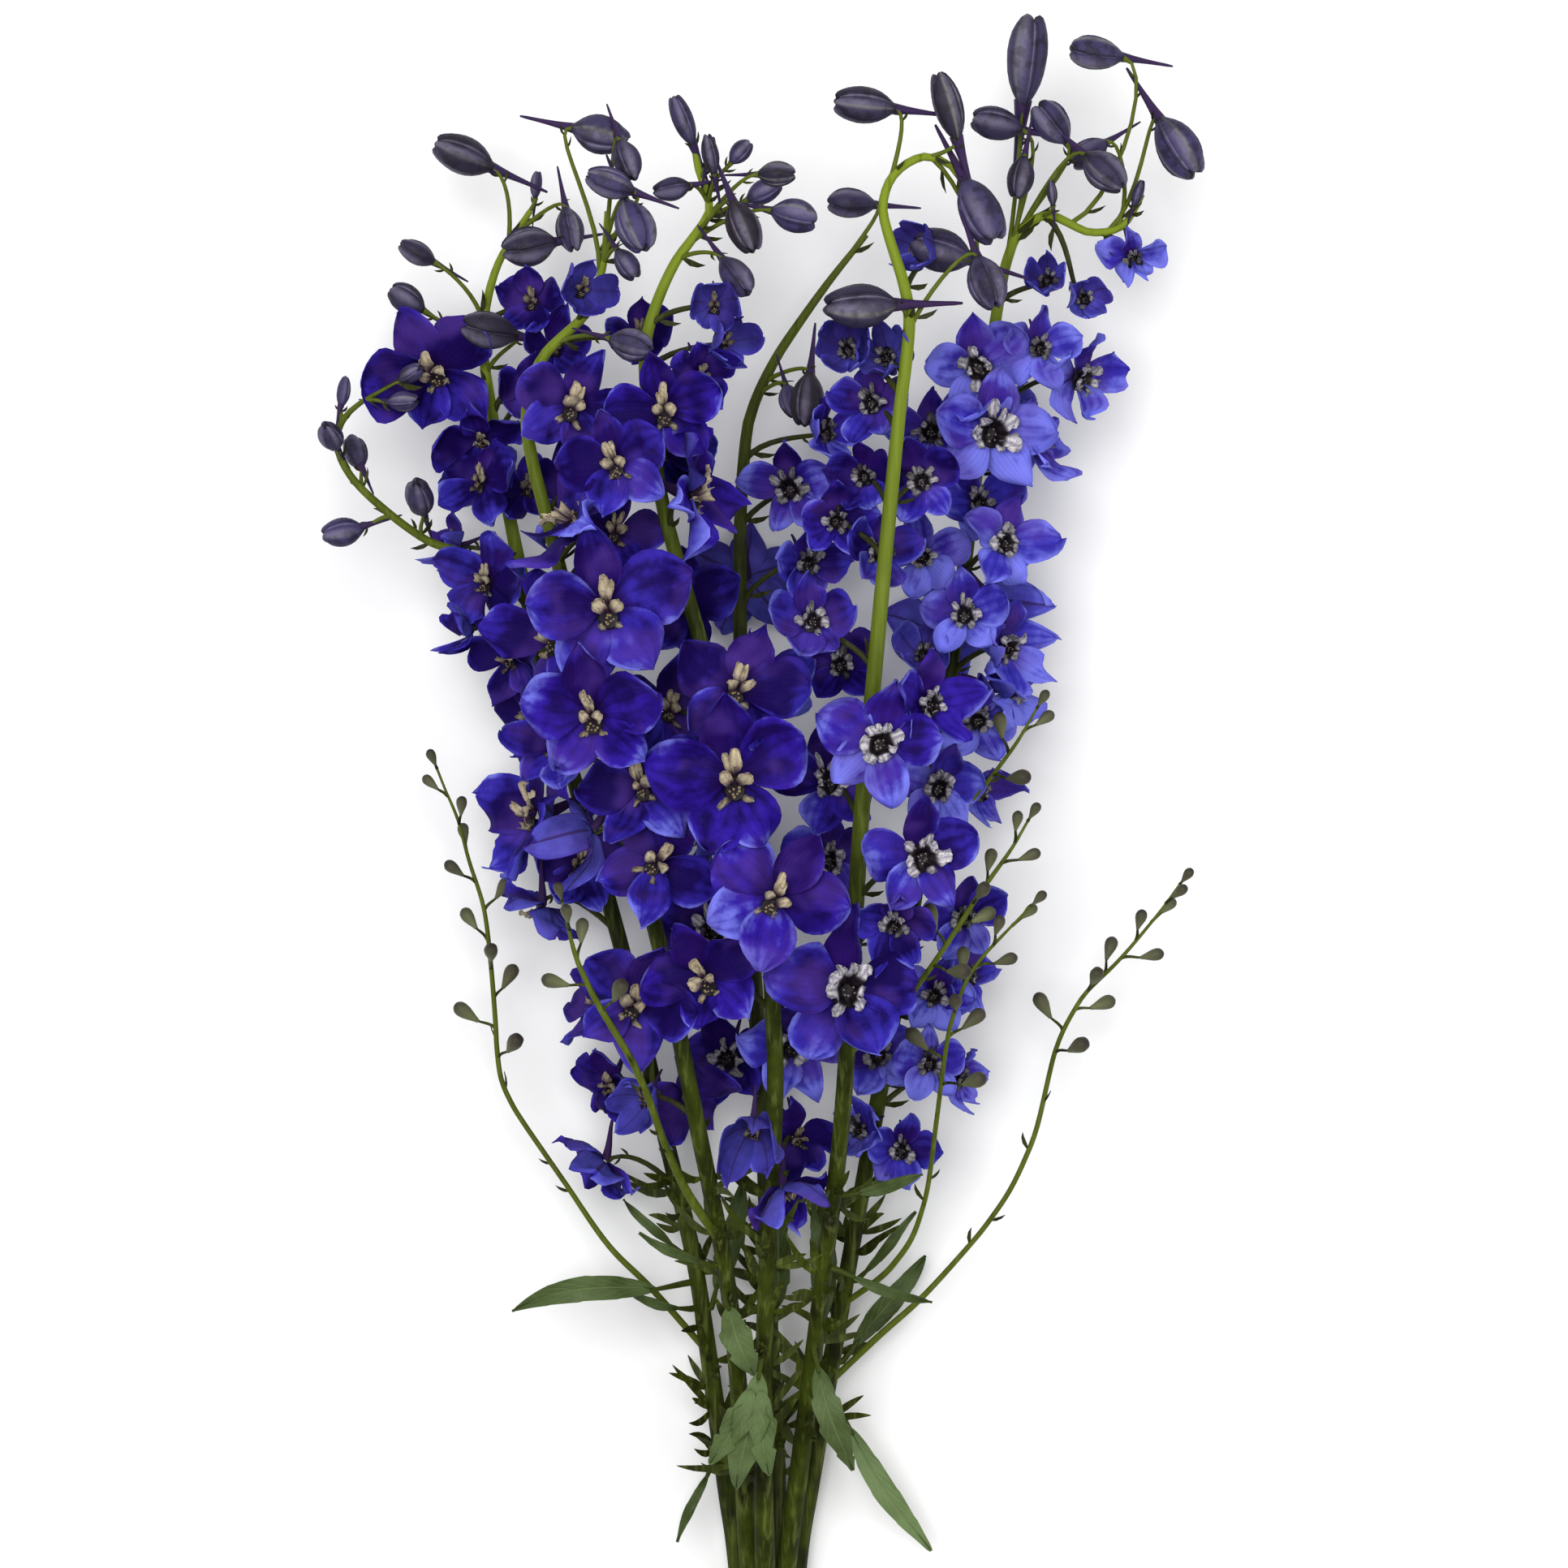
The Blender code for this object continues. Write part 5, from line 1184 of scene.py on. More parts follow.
def lens(shape, place, rows, columns, thickness, look, seed=0.0):
    """A thin closed blade: place(u, v) gives its front, with u along it and v across, -1 to 1."""
    shares = [0.5 - 0.5 * math.cos(math.pi * i / rows) for i in range(rows + 1)]
    sides = [-math.cos(math.pi * j / columns) for j in range(columns + 1)]
    grid = [[place(u, v) for v in sides] for u in shares]
    points, marks, front = [], [], {}
    for i, u in enumerate(shares):
        for j, v in enumerate(sides):
            front[i, j] = len(points)
            points.append(grid[i][j])
            marks.append((u, v, seed))
    back = dict(front)
    for i in range(1, rows):
        for j in range(1, columns):
            along = grid[i + 1][j] - grid[i - 1][j]
            across = grid[i][j + 1] - grid[i][j - 1]
            back[i, j] = len(points)
            points.append(grid[i][j] - across.cross(along).normalized() * thickness)
            marks.append((shares[i], sides[j], seed + BACK_MARK))
    faces = []
    for i in range(rows):
        for j in range(columns):
            corners = ((i, j), (i, j + 1), (i + 1, j + 1), (i + 1, j))
            faces.append(tuple(front[c] for c in corners))
            faces.append(tuple(back[corners[-k]] for k in range(4)))
    shape.add(points, faces, marks, look)


def ring_faces(rings, sides, closed=False):
    """The faces between rings of points, and back to the first ring if they close."""
    faces = []
    for i in range(rings if closed else rings - 1):
        m = (i + 1) % rings
        for k in range(sides):
            n = (k + 1) % sides
            faces.append((i * sides + k, i * sides + n, m * sides + n, m * sides + k))
    return faces


def carried(points):
    """For each point of a line, its direction and two directions across it, without twist."""
    frames = []
    across = None
    for i, point in enumerate(points):
        before, after = points[max(i - 1, 0)], points[min(i + 1, len(points) - 1)]
        forward = (after - before).normalized()
        if across is None:
            across = forward.cross(Vector(OFF_ALL_LINES)).normalized()
        across = (across - forward * across.dot(forward)).normalized()
        frames.append((point, forward, across, forward.cross(across)))
    return frames


def tube(shape, points, radii, sides, look, seed=0.0, ribs=0.0, pressed=True, hollow=0.0):
    """A round closed rod along a line of points, with a share of ribs and a hollow at its foot."""
    rings = [(*frame, radius) for frame, radius in zip(carried(points), radii)]
    if hollow:
        point, *ways, radius = rings[0]
        wall, deep = (radius * share for share in HOLLOW_RADII)
        rings = [(point + ways[0] * hollow, *ways, deep), (point, *ways, wall)] + rings
    made, marks = [], []
    for i, (point, _, across, over, radius) in enumerate(rings):
        for k in range(sides):
            angle = math.tau * k / sides
            ribbed = radius * (1 + (ribs if k % 2 else -ribs))
            made.append(point + (across * math.cos(angle) + over * math.sin(angle)) * ribbed)
            marks.append((i / (len(rings) - 1), k / sides, seed))
    faces = ring_faces(len(rings), sides)
    made += [rings[0][0], rings[-1][0]]
    marks += [(0.0, 0.0, seed), (1.0, 0.0, seed)]
    first, last = len(made) - 2, len(made) - 1
    top = (len(rings) - 1) * sides
    for k in range(sides):
        n = (k + 1) % sides
        faces += [(first, n, k), (last, top + k, top + n)]
    shape.add(made, faces, marks, look, pressed)


def ball(shape, matrix, profile, sides, look, seed=0.0, fold=0.0, folds=1, parted=0.0):
    """A turned form about local Z: profile is a list of heights and radii.

    Folds overlap like the sepals of a bud, and their tips are parted by a share.
    """
    made, marks = [], []
    steps = len(profile) - 1
    for i, (height, radius) in enumerate(profile[1:-1], start=1):
        share = i / steps
        late = max(share - PARTED_FROM, 0) / (1 - PARTED_FROM)
        for k in range(sides):
            lap = (k / sides * folds) % 1.0
            swell = 1 + fold * (0.5 - lap**2) * math.sin(math.pi * i / steps)
            angle = math.tau * (k / sides)
            flat = Vector((math.cos(angle), math.sin(angle), 0)) * radius * swell
            rise = parted * (math.sin(math.pi * lap) - FOLD_TIP) * late
            made.append(matrix @ (flat + Vector((0, 0, height + rise))))
            marks.append((share, lap, seed))
    faces = ring_faces(steps - 1, sides)
    for share, (height, _), ring in ((0.0, profile[0], 0), (1.0, profile[-1], steps - 2)):
        made.append(matrix @ Vector((0, 0, height)))
        marks.append((share, 0.5, seed))
        for k in range(sides):
            faces.append((len(made) - 1, ring * sides + k, ring * sides + (k + 1) % sides))
    shape.add(made, faces, marks, look)


def curve_between(start, leave, arrive, end, count):
    """Points on the curve that leaves start towards one handle and reaches end from another."""
    made = []
    for i in range(count + 1):
        t = i / count
        a, b = start.lerp(leave, t), leave.lerp(arrive, t)
        c = arrive.lerp(end, t)
        made.append(a.lerp(b, t).lerp(b.lerp(c, t), t))
    return made


def fine(line, step):
    """A line's points read closely: rounder than its own, and passing through them."""
    points = line.points
    ends = with_ends(points)
    made, along = [], []
    for i in range(len(points) - 1):
        a, b, c, d = ends[i:i + 4]
        count = max(1, round((c - b).length / step))
        for k in range(count):
            t = k / count
            made.append(
                0.5 * (2 * b + (c - a) * t + (2 * a - 5 * b + 4 * c - d) * t**2
                       + (3 * b - a - 3 * c + d) * t**3)
            )
            along.append(line.along[i] + (line.along[i + 1] - line.along[i]) * t)
    return made + [points[-1]], along + [line.length]


# Flowers.

Sepal = namedtuple("Sepal", "angle reach half point lean curl channel twist purple light")


def half_open(flower):
    """How far a flower is still closed: 0 for an open one, 1 for one that has just parted."""
    return clamp((flower.cup - CLOSED_FROM) / CLOSED_OVER)


def turned_frame(flower, rng):
    """A flower's frame, tilted and rolled a little its own way."""
    tilts = [Matrix.Rotation(rng.uniform(-TILT, TILT), 4, axis) for axis in "XYZ"]
    return frame_of(flower) @ tilts[0] @ tilts[1] @ tilts[2]


def sepals_of(flower, rng):
    """The five sepals: the upper one narrow and dark, the side ones broad, the lower ones paler."""
    wider = 1 + CLOSED_WIDER * half_open(flower)
    return [
        Sepal(
            angle + rng.uniform(*ANGLE_STRAY), reach * rng.uniform(*REACH_STRAY),
            half * rng.uniform(*HALF_STRAY) * wider, point * rng.uniform(*POINT_STRAY),
            rng.uniform(*LEAN), rng.uniform(*CURL), rng.uniform(*CHANNEL), rng.uniform(*TWIST),
            purple * rng.uniform(*PURPLE_STRAY), light,
        )
        for angle, reach, half, point, purple, light in SEPALS
    ]


def broad(u, point):
    """A sepal's half width along it, as a share of its widest: a narrow claw, then a blade."""
    widest = CLAW / (CLAW + point)
    return (u / widest) ** CLAW * ((1 - u) / (1 - widest)) ** point


def sepal_point(flower, sepal, u, v, matrix, seed):
    """A point of a sepal's front, u along it from its foot and v across it."""
    closed = half_open(flower)
    along = SEPAL_FOOT + (sepal.reach - SEPAL_FOOT) * u
    half = sepal.half * broad(u, sepal.point)
    aside = -v * half
    lift = flower.cup * along**2 + sepal.lean * along
    lift += sepal.curl * u**CURL_POWER * (1 - closed)
    lift += CLOSED_LIFT * closed * u * u
    along *= 1 - CLOSED_SHORTER * closed * u * u
    lift += sepal.channel * v * v * half + (SEPAL_TILT + sepal.twist * u) * aside
    phase, along_waves, across_waves = RUFFLE_WAVES
    ripple = math.sin(seed * phase + along_waves * u + across_waves * v)
    lift += RUFFLE * v * v * u * ripple
    where = (along, aside, seed)
    dimple = noise.noise(Vector([value * scale for value, scale in zip(where, DIMPLE_SCALE)]))
    lift += DIMPLE * u * dimple
    lift -= KEEL * math.exp(-((v / KEEL_HALF) ** 2)) * math.sin(math.pi * u)
    turn = math.radians(sepal.angle)
    c, s = math.cos(turn), math.sin(turn)
    return matrix @ Vector((along * c - aside * s, along * s + aside * c, lift))


def spur(shape, matrix, size, handles, radii, look, seed):
    """The horn behind a flower or a bud."""
    points = curve_between(*(matrix @ Vector(p) for p in handles), len(radii) - 1)
    tube(shape, points, [size * r for r in radii], SPUR_SIDES, look, seed)


def open_flower(shapes, flower, number):
    """Sepals, the spur behind, and the small inner petals with the throat and stamens."""
    rng = random.Random(number)
    seed = rng.random()
    # Painted light and shade: the spike's own amount, lighter for a flower that lies high and
    # darker for a deep one, with a tone of its own by chance.
    sunlit = DEPTH_LIGHT * (flower.centre.z / DEPTH_REACH - DEPTH_MIDDLE)
    light = SPIKE_PAINTED_LIGHT[flower.spike] + sunlit + rng.uniform(*FLOWER_LIGHT)
    hue = clamp(SPIKE_BLUE[flower.spike] + rng.uniform(*FLOWER_BLUE))
    frame = turned_frame(flower, rng)
    matrix = frame @ Matrix.Scale(flower.size, 4)
    closed = half_open(flower)
    for k, sepal in enumerate(sepals_of(flower, rng)):
        own = light + sepal.light + rng.uniform(*SEPAL_LIGHT) - CLOSED_DARKER * closed
        purple = min(sepal.purple + CLOSED_PURPLE * closed, MOST_PURPLE)
        if closed < MOSTLY_CLOSED:
            mark = FRONT_MARK * seed + SEPAL_MARK * k
        else:
            mark = CLOSED_MARK[0] + CLOSED_MARK[1] * closed
        lens(
            shapes["sepals"], lambda u, v: sepal_point(flower, sepal, u, v, matrix, seed + k),
            SEPAL_ROWS, SEPAL_COLUMNS, SEPAL_THICKNESS, (purple, clamp(own), hue), mark,
        )
    look = (SPUR_PURPLE, clamp(light), hue)
    spur(shapes["sepals"], matrix, flower.size, SPUR, SPUR_RADII, look, seed)
    bee(shapes["bees"], flower, frame, rng)


def bee(shape, flower, frame, rng):
    """The inner petals round the dark throat, each a little its own way, and the stamens."""
    kind = WHITE_BEE if flower.spike in WHITE_BEES else CREAM_BEE
    young = clamp((BEE_RIPE - flower.size) / BEE_YOUTH)
    scale = (BEE_SHARE * flower.size + BEE_CONSTANT) * rng.uniform(*BEE_SIZE)
    matrix = frame @ Matrix.Scale(scale * (1 - YOUNG_SMALLER * young), 4)
    rise = flower.cup * BEE_RISE
    for petal in kind.petals:
        for side in (-1, 1):
            bee_petal(shape, matrix, kind, petal, side, rise, young, rng)
    throat = matrix @ Matrix.Translation((0, kind.throat_y, rise))
    profile = [(h, r * kind.throat_wide) for h, r in THROAT]
    ball(shape, throat, profile, THROAT_SIDES, (kind.white, 1.0, 0.0))
    for k in range(STAMENS):
        angle = k * math.tau / STAMENS + rng.uniform(-STAMEN_STRAY, STAMEN_STRAY)
        out = rng.uniform(*STAMEN_OUT) * kind.throat_wide
        top = Vector((out * math.cos(angle), out * math.sin(angle), rng.uniform(*STAMEN_UP)))
        anther = throat @ Matrix.Translation(top) @ Matrix.Scale(rng.uniform(*ANTHER_SIZE), 4)
        ball(shape, anther, ANTHER, ANTHER_SIDES, (kind.white, ANTHER_SHADE, 1.0))


def bee_petal(shape, matrix, kind, petal, side, rise, young, rng):
    """One inner petal: a ragged rounded blade with a notched tip, raised along its middle."""
    start, end = (Vector((x * side, y, z + rise)) for x, y, z in (petal.foot, petal.tip))
    end = end * rng.uniform(*BEE_REACH)
    end += Vector([rng.uniform(-kind.stray, kind.stray) for _ in range(3)])
    turned = Vector((rng.uniform(-BEE_TURN, BEE_TURN), 0, 1))
    across = (end - start).cross(turned).normalized()
    wide = petal.half * rng.uniform(*BEE_WIDTH)
    phase = rng.uniform(*BEE_PHASE)

    def place(u, v):
        width = wide * (u ** BEE_ROUND[0] * (1 - u) ** BEE_ROUND[1]) / BEE_WIDEST
        width *= 1 + kind.ragged * math.sin(BEE_RAGS[0] * u * abs(v) + BEE_RAGS[1] * v + phase)
        wave = BEE_RUFFLE * math.sin(BEE_RUFFLES[0] * u + BEE_RUFFLES[1] * v + phase) * v * v
        notch = -BEE_NOTCH * wide * math.exp(-((v / BEE_NOTCH_HALF) ** 2)) * u**BEE_NOTCH_POWER
        lift = petal.bend * math.sin(math.pi * u) + BEE_CHANNEL * width * v * v + wave
        way = start.lerp(end, u) + (end - start) * notch
        return matrix @ (way + across * width * v + Vector((0, 0, lift)))

    # Each petal's own tone, with a random part for the white kind, and painted shade in a young
    # flower.
    own = min(petal.shade + rng.uniform(*BEE_SHADE) * kind.white + YOUNG_SHADE * young, 1.0)
    lens(shape, place, BEE_ROWS, BEE_COLUMNS, BEE_THICKNESS, (kind.white, own, 0.0))


def violet_bud(shapes, flower, number):
    """A closed bud: lapped sepals, a blunt tip that parts a little, and the long spur."""
    rng = random.Random(number)
    seed = rng.random()
    matrix = frame_of(flower) @ Matrix.Scale(flower.size, 4)
    turned = matrix @ Matrix.Rotation(rng.uniform(*BUD_TURN), 4, "Z")
    slim = rng.uniform(*BUD_SLIM) if flower.facing.y < UPRIGHT else SLIM_BUD
    blunt = rng.uniform(*BUD_BLUNT)
    profile = [
        (h, r * slim * (1 + BLUNT_SWELL * blunt * max(h - BLUNT_FROM, 0))) for h, r in BUD_PROFILE
    ]
    shade = (rng.uniform(0, 1), 0.0, 0.0)
    folds = rng.choice(BUD_FOLDS)
    ball(shapes["buds"], turned, profile, BUD_SIDES, shade, seed, BUD_FOLD, folds, BUD_PARTED)
    look = (seed, 1.0, 0.0)
    spur(shapes["buds"], matrix, flower.size, BUD_SPUR, BUD_SPUR_RADII, look, seed)


def green_bud(shapes, flower, number):
    """A small teardrop bud of a side shoot, wider towards its blunt tip."""
    rng = random.Random(number)
    way = flower.facing.to_track_quat("Z", "Y").to_matrix().to_4x4()
    matrix = Matrix.Translation(flower.centre) @ way @ Matrix.Scale(flower.size, 4)
    look = (rng.uniform(0, 1), 0.0, 1.0)
    ball(
        shapes["buds"], matrix, GREEN_BUD_PROFILE, GREEN_BUD_SIDES, look,
        fold=GREEN_BUD_FOLD, folds=GREEN_BUD_FOLDS,
    )


def stalk(shapes, flower, line, number):
    """A pedicel that leaves the stem upwards and bends round to its flower, with its bracts."""
    rng = random.Random(number)
    seed = rng.random()
    kind = STALKS[flower.kind]
    reach = (flower.centre - flower.base).length
    forward = line.at(line.distance_nearest(flower.base.x, flower.base.y))[1]
    end = flower.centre - flower.facing * kind.sunk * flower.size
    way = forward * 0.5 + (end - flower.base).normalized() * 0.5
    leave = flower.base + way * reach * STALK_LEAVE
    arrive = end - flower.facing * reach * kind.arrive
    points = curve_between(flower.base, leave, arrive, end, STALK_STEPS)
    foot, taper = STALK_TAPER
    radii = [kind.radius * (foot - taper * i / STALK_STEPS) for i in range(STALK_STEPS)]
    radii.append(kind.radius * kind.end)
    tube(shapes["stems"], points, radii, STALK_SIDES, kind.look, seed)
    if flower.kind == "green_bud":
        return
    for at, length, turn in ((1, rng.uniform(*LOW_BRACT), 1), *HIGH_BRACTS):
        way = points[at + 1] - points[at]
        side = way.cross(Vector((rng.uniform(-1, 1), BRACT_SLANT, 1))).normalized() * turn
        bract(shapes["stems"], points[at], side, way.normalized(), length)


def bract(shape, foot, side, forward, length):
    """A narrow pointed scale leaf."""
    tip = foot + (side * BRACT_WAY[0] + forward * BRACT_WAY[1]) * length
    across = (tip - foot).cross(side.cross(forward)).normalized()

    def place(u, v):
        width = BRACT_HALF * length * math.sin(math.pi * u**BRACT_POWER)
        bow = side * BRACT_BOW * length * math.sin(math.pi * u)
        return foot.lerp(tip, u) + across * v * width + bow

    lens(shape, place, BRACT_ROWS, THIN_COLUMNS, THIN, BRACT_LOOK)


# Stems, leaves and the tie.

def stem(shapes, name, line, sides):
    """A stem with slight ribs; its cut end is hollow."""
    points, along = fine(line, STEM_STEP)
    radii = [line.radius(s) for s in along]
    low, high, most = STEM_BRIGHT[name]
    violet = STEM_VIOLET.get(name, PLAIN_VIOLET)
    look = [(0.0, 0.0, HOLLOW_PITH)] * sides + [(0.0, 0.0, 1.0)] * (2 * sides)
    for s in along[1:]:
        share = clamp((s / line.length - low) / (high - low))
        look += [(violet, most * share, 0.0)] * sides
    look += [look[0], look[-1]]
    tube(
        shapes["stems"], points, radii, sides, look,
        ribs=STEM_RIBS, pressed=False, hollow=HOLLOW_DEPTH,
    )


def wisps(shapes, name, line):
    """Narrow leaflets low on a stem, some of them forked, that curve away from it."""
    rng = random.Random(name)
    for _ in range(WISPS):
        s = line.distance_at_y(rng.uniform(*WISP_Y) * MM)
        point, forward = line.at(s)
        out = line.side(s, rng.uniform(*WISP_ANGLE))
        foot = point + out * line.radius(s) * WISP_SUNK
        length = rng.uniform(*WISP_LENGTH)
        for turn in (0, rng.choice(WISP_FORKS)):
            spin = Matrix.Rotation(math.radians(turn), 3, "Z")
            way = spin @ (out + forward * rng.uniform(*WISP_FORWARD))
            end = foot + way.normalized() * length * (WISP_FORK_SHARE if turn else 1)
            wisp(shapes["stems"], foot, end, forward * rng.uniform(*WISP_BOW) * length)


def wisp(shape, foot, end, bow):
    """A thread-like leaflet with a round foot and a thin tip."""
    across = (end - foot).cross(Vector((WISP_SLANT, 0, 1))).normalized()
    start, power = WISP_ROUND

    def place(u, v):
        width = WISP_WIDTH * math.sin(math.pi * (start + (1 - start) * u)) ** power
        return foot.lerp(end, u) + across * v * width + bow * 4 * u * (1 - u)

    lens(shape, place, WISP_ROWS, THIN_COLUMNS, THIN, WISP_LOOK)


def side_shoot(shapes, shoot, parent):
    """A thin shoot that grows out of its stem, with small scale leaves."""
    root = parent.at(parent.distance_at_y(shoot.foot_y * MM))[0]
    rooted = Line(smooth([root / MM] + shoot.path), shoot.radius * MM, SHOOT_TIP_RADIUS)
    points, along = fine(rooted, SHOOT_STEP)
    radii = [max(rooted.radius(s), SHOOT_TIP_RADIUS) for s in along]
    tube(shapes["stems"], points, radii, SHOOT_SIDES, SHOOT_LOOK)
    rng = random.Random(len(shoot.name))
    for share in SHOOT_BRACT_PLACES:
        point, forward = rooted.at(rooted.length * share)
        side = rooted.side(rooted.length * share, rng.uniform(0, 360))
        bract(shapes["stems"], point, side, forward, rng.uniform(*SHOOT_BRACT))


def leaf_lobe(shape, foot, reach, arch, width, teeth, look, seed, bow=0.0):
    """One lobe of a leaf: an arched blade with teeth, a keeled rib and a wavy rim."""
    across = reach.cross(Vector((0, 0, 1))).normalized()
    depth, count = teeth

    def rib(t):
        return foot + reach * t + Vector((0, 0, arch * 4 * t * (1 - t)))

    def place(u, v):
        late = u + (TOOTH_LATER if v > 0 else 0)
        tooth = 1 - depth * ((late * count) % 1.0) * abs(v) ** TOOTH_POWER
        swell = math.sin(math.pi * u ** LEAF_ROUND[0]) ** LEAF_ROUND[1]
        half = LEAF_HALF * width * swell * tooth
        keel = math.exp(-((v / LEAF_KEEL_HALF) ** 2))
        lift = LEAF_CHANNEL * half * v * v - LEAF_KEEL * width * keel
        ripple = math.sin(LEAF_RUFFLES[0] * u + seed * LEAF_RUFFLES[1])
        lift += LEAF_RUFFLE * width * v * v * ripple
        sway = math.sin(LEAF_SWAYS[0] * u + seed * LEAF_SWAYS[1])
        bend = LEAF_SWAY * reach.length * sway * u
        bend += bow * reach.length * u * (BOW_CURVE[0] + BOW_CURVE[1] * u)
        point = rib(LEAF_FOOT + (1 - LEAF_FOOT) * u)
        return point + across * (v * half + bend) + Vector((0, 0, lift))

    lens(shape, place, LEAF_ROWS, LEAF_COLUMNS, LEAF_THICKNESS, look)
    return rib


def leaf_piece(leaf, line, paint):
    """A leaf: its bare petiole, its middle lobe and the side lobes that fork from it."""
    s = line.distance_at_y(leaf.foot_y * MM)
    out = line.side(s, leaf.foot_side)
    foot = line.at(s)[0] + out * (line.radius(s) + SEAT_GAP)
    reach, arch, width = Vector(leaf.tip) * MM, leaf.arch * MM, leaf.width * MM
    shape = Shape()
    seed = random.Random(leaf.name).random()
    teeth = LEAF_TEETH.get(leaf.name, PLAIN_TEETH)
    shade = LEAF_SHADE.get(leaf.name, PLAIN_SHADE)
    look = (shade, 0.0, 0.0)
    bow = LEAF_BOW.get(leaf.name, 0.0)
    rib = leaf_lobe(shape, foot, reach, arch, width, teeth, look, seed, bow)
    steps = range(PETIOLE_STEPS + 1)
    points = [line.at(s)[0]]
    points += [rib(LEAF_FOOT * PETIOLE_REACH * i / PETIOLE_STEPS) for i in steps[1:]]
    start, taper = PETIOLE_TAPER
    radii = [PETIOLE_RADIUS * (start - taper * i / PETIOLE_STEPS) for i in steps]
    tube(shape, points, radii, STALK_SIDES, (shade, 1.0, 0.0))
    fork = rib(PETIOLE_SHARE * LOBE_FOOT)
    for angle in leaf.lobes[1:]:
        spread = Matrix.Rotation(math.radians(angle), 3, "Z") @ reach * LOBE_REACH
        own = seed + angle * LOBE_SEED
        leaf_lobe(shape, fork, spread, arch * LOBE_ARCH, width * LOBE_WIDTH, teeth, look, own)
    shape.finish(leaf.name + "_blade", paint, "leaves", leaf.name)


def tie_loop():
    """The band's way round the stack of stems: x and z, and the direction outwards."""
    radius = STEM_RADIUS + SEAT_GAP + BAND_THICK / 2
    corners = (
        (STEM_PITCH * MM, TIE_LOW * MM), (0, (TIE_LOW + 2 * STACK_RISE) * MM),
        (-STEM_PITCH * MM, TIE_LOW * MM),
    )
    loop = []
    for n, (x, z) in enumerate(corners):
        start = STRAIGHT_DOWN + CORNER_ARC * n
        for k in range(CORNER_POINTS):
            angle = math.radians(start + CORNER_ARC * k / (CORNER_POINTS - 1))
            loop.append((x + radius * math.cos(angle), z + radius * math.sin(angle), angle))
    return loop


def tie_piece(paint):
    """A rubber band wound three times round the stems, each turn a rounded strip."""
    shape = Shape()
    loop = tie_loop()
    for turn in range(BAND_TURNS):
        y = TIE_Y * MM + (turn - (BAND_TURNS - 1) / 2) * BAND_PITCH
        points, marks = [], []
        for i, (x, z, angle) in enumerate(loop):
            out = Vector((math.cos(angle), 0, math.sin(angle)))
            slant = BAND_SLANT * math.sin(math.tau * i / len(loop) + turn)
            for k in range(BAND_SIDES):
                around = math.tau * k / BAND_SIDES
                bulge = out * math.sin(around) * BAND_THICK / 2
                points.append(Vector((x, y + slant + math.cos(around) * BAND_WIDE / 2, z)) + bulge)
                marks.append((i / len(loop), k / BAND_SIDES, 0.0))
        faces = ring_faces(len(loop), BAND_SIDES, closed=True)
        shape.add(points, faces, marks, (0.0, 0.0, 0.0))
    shape.finish("tie_band_turns", paint, "band", "tie_band")


# Materials.

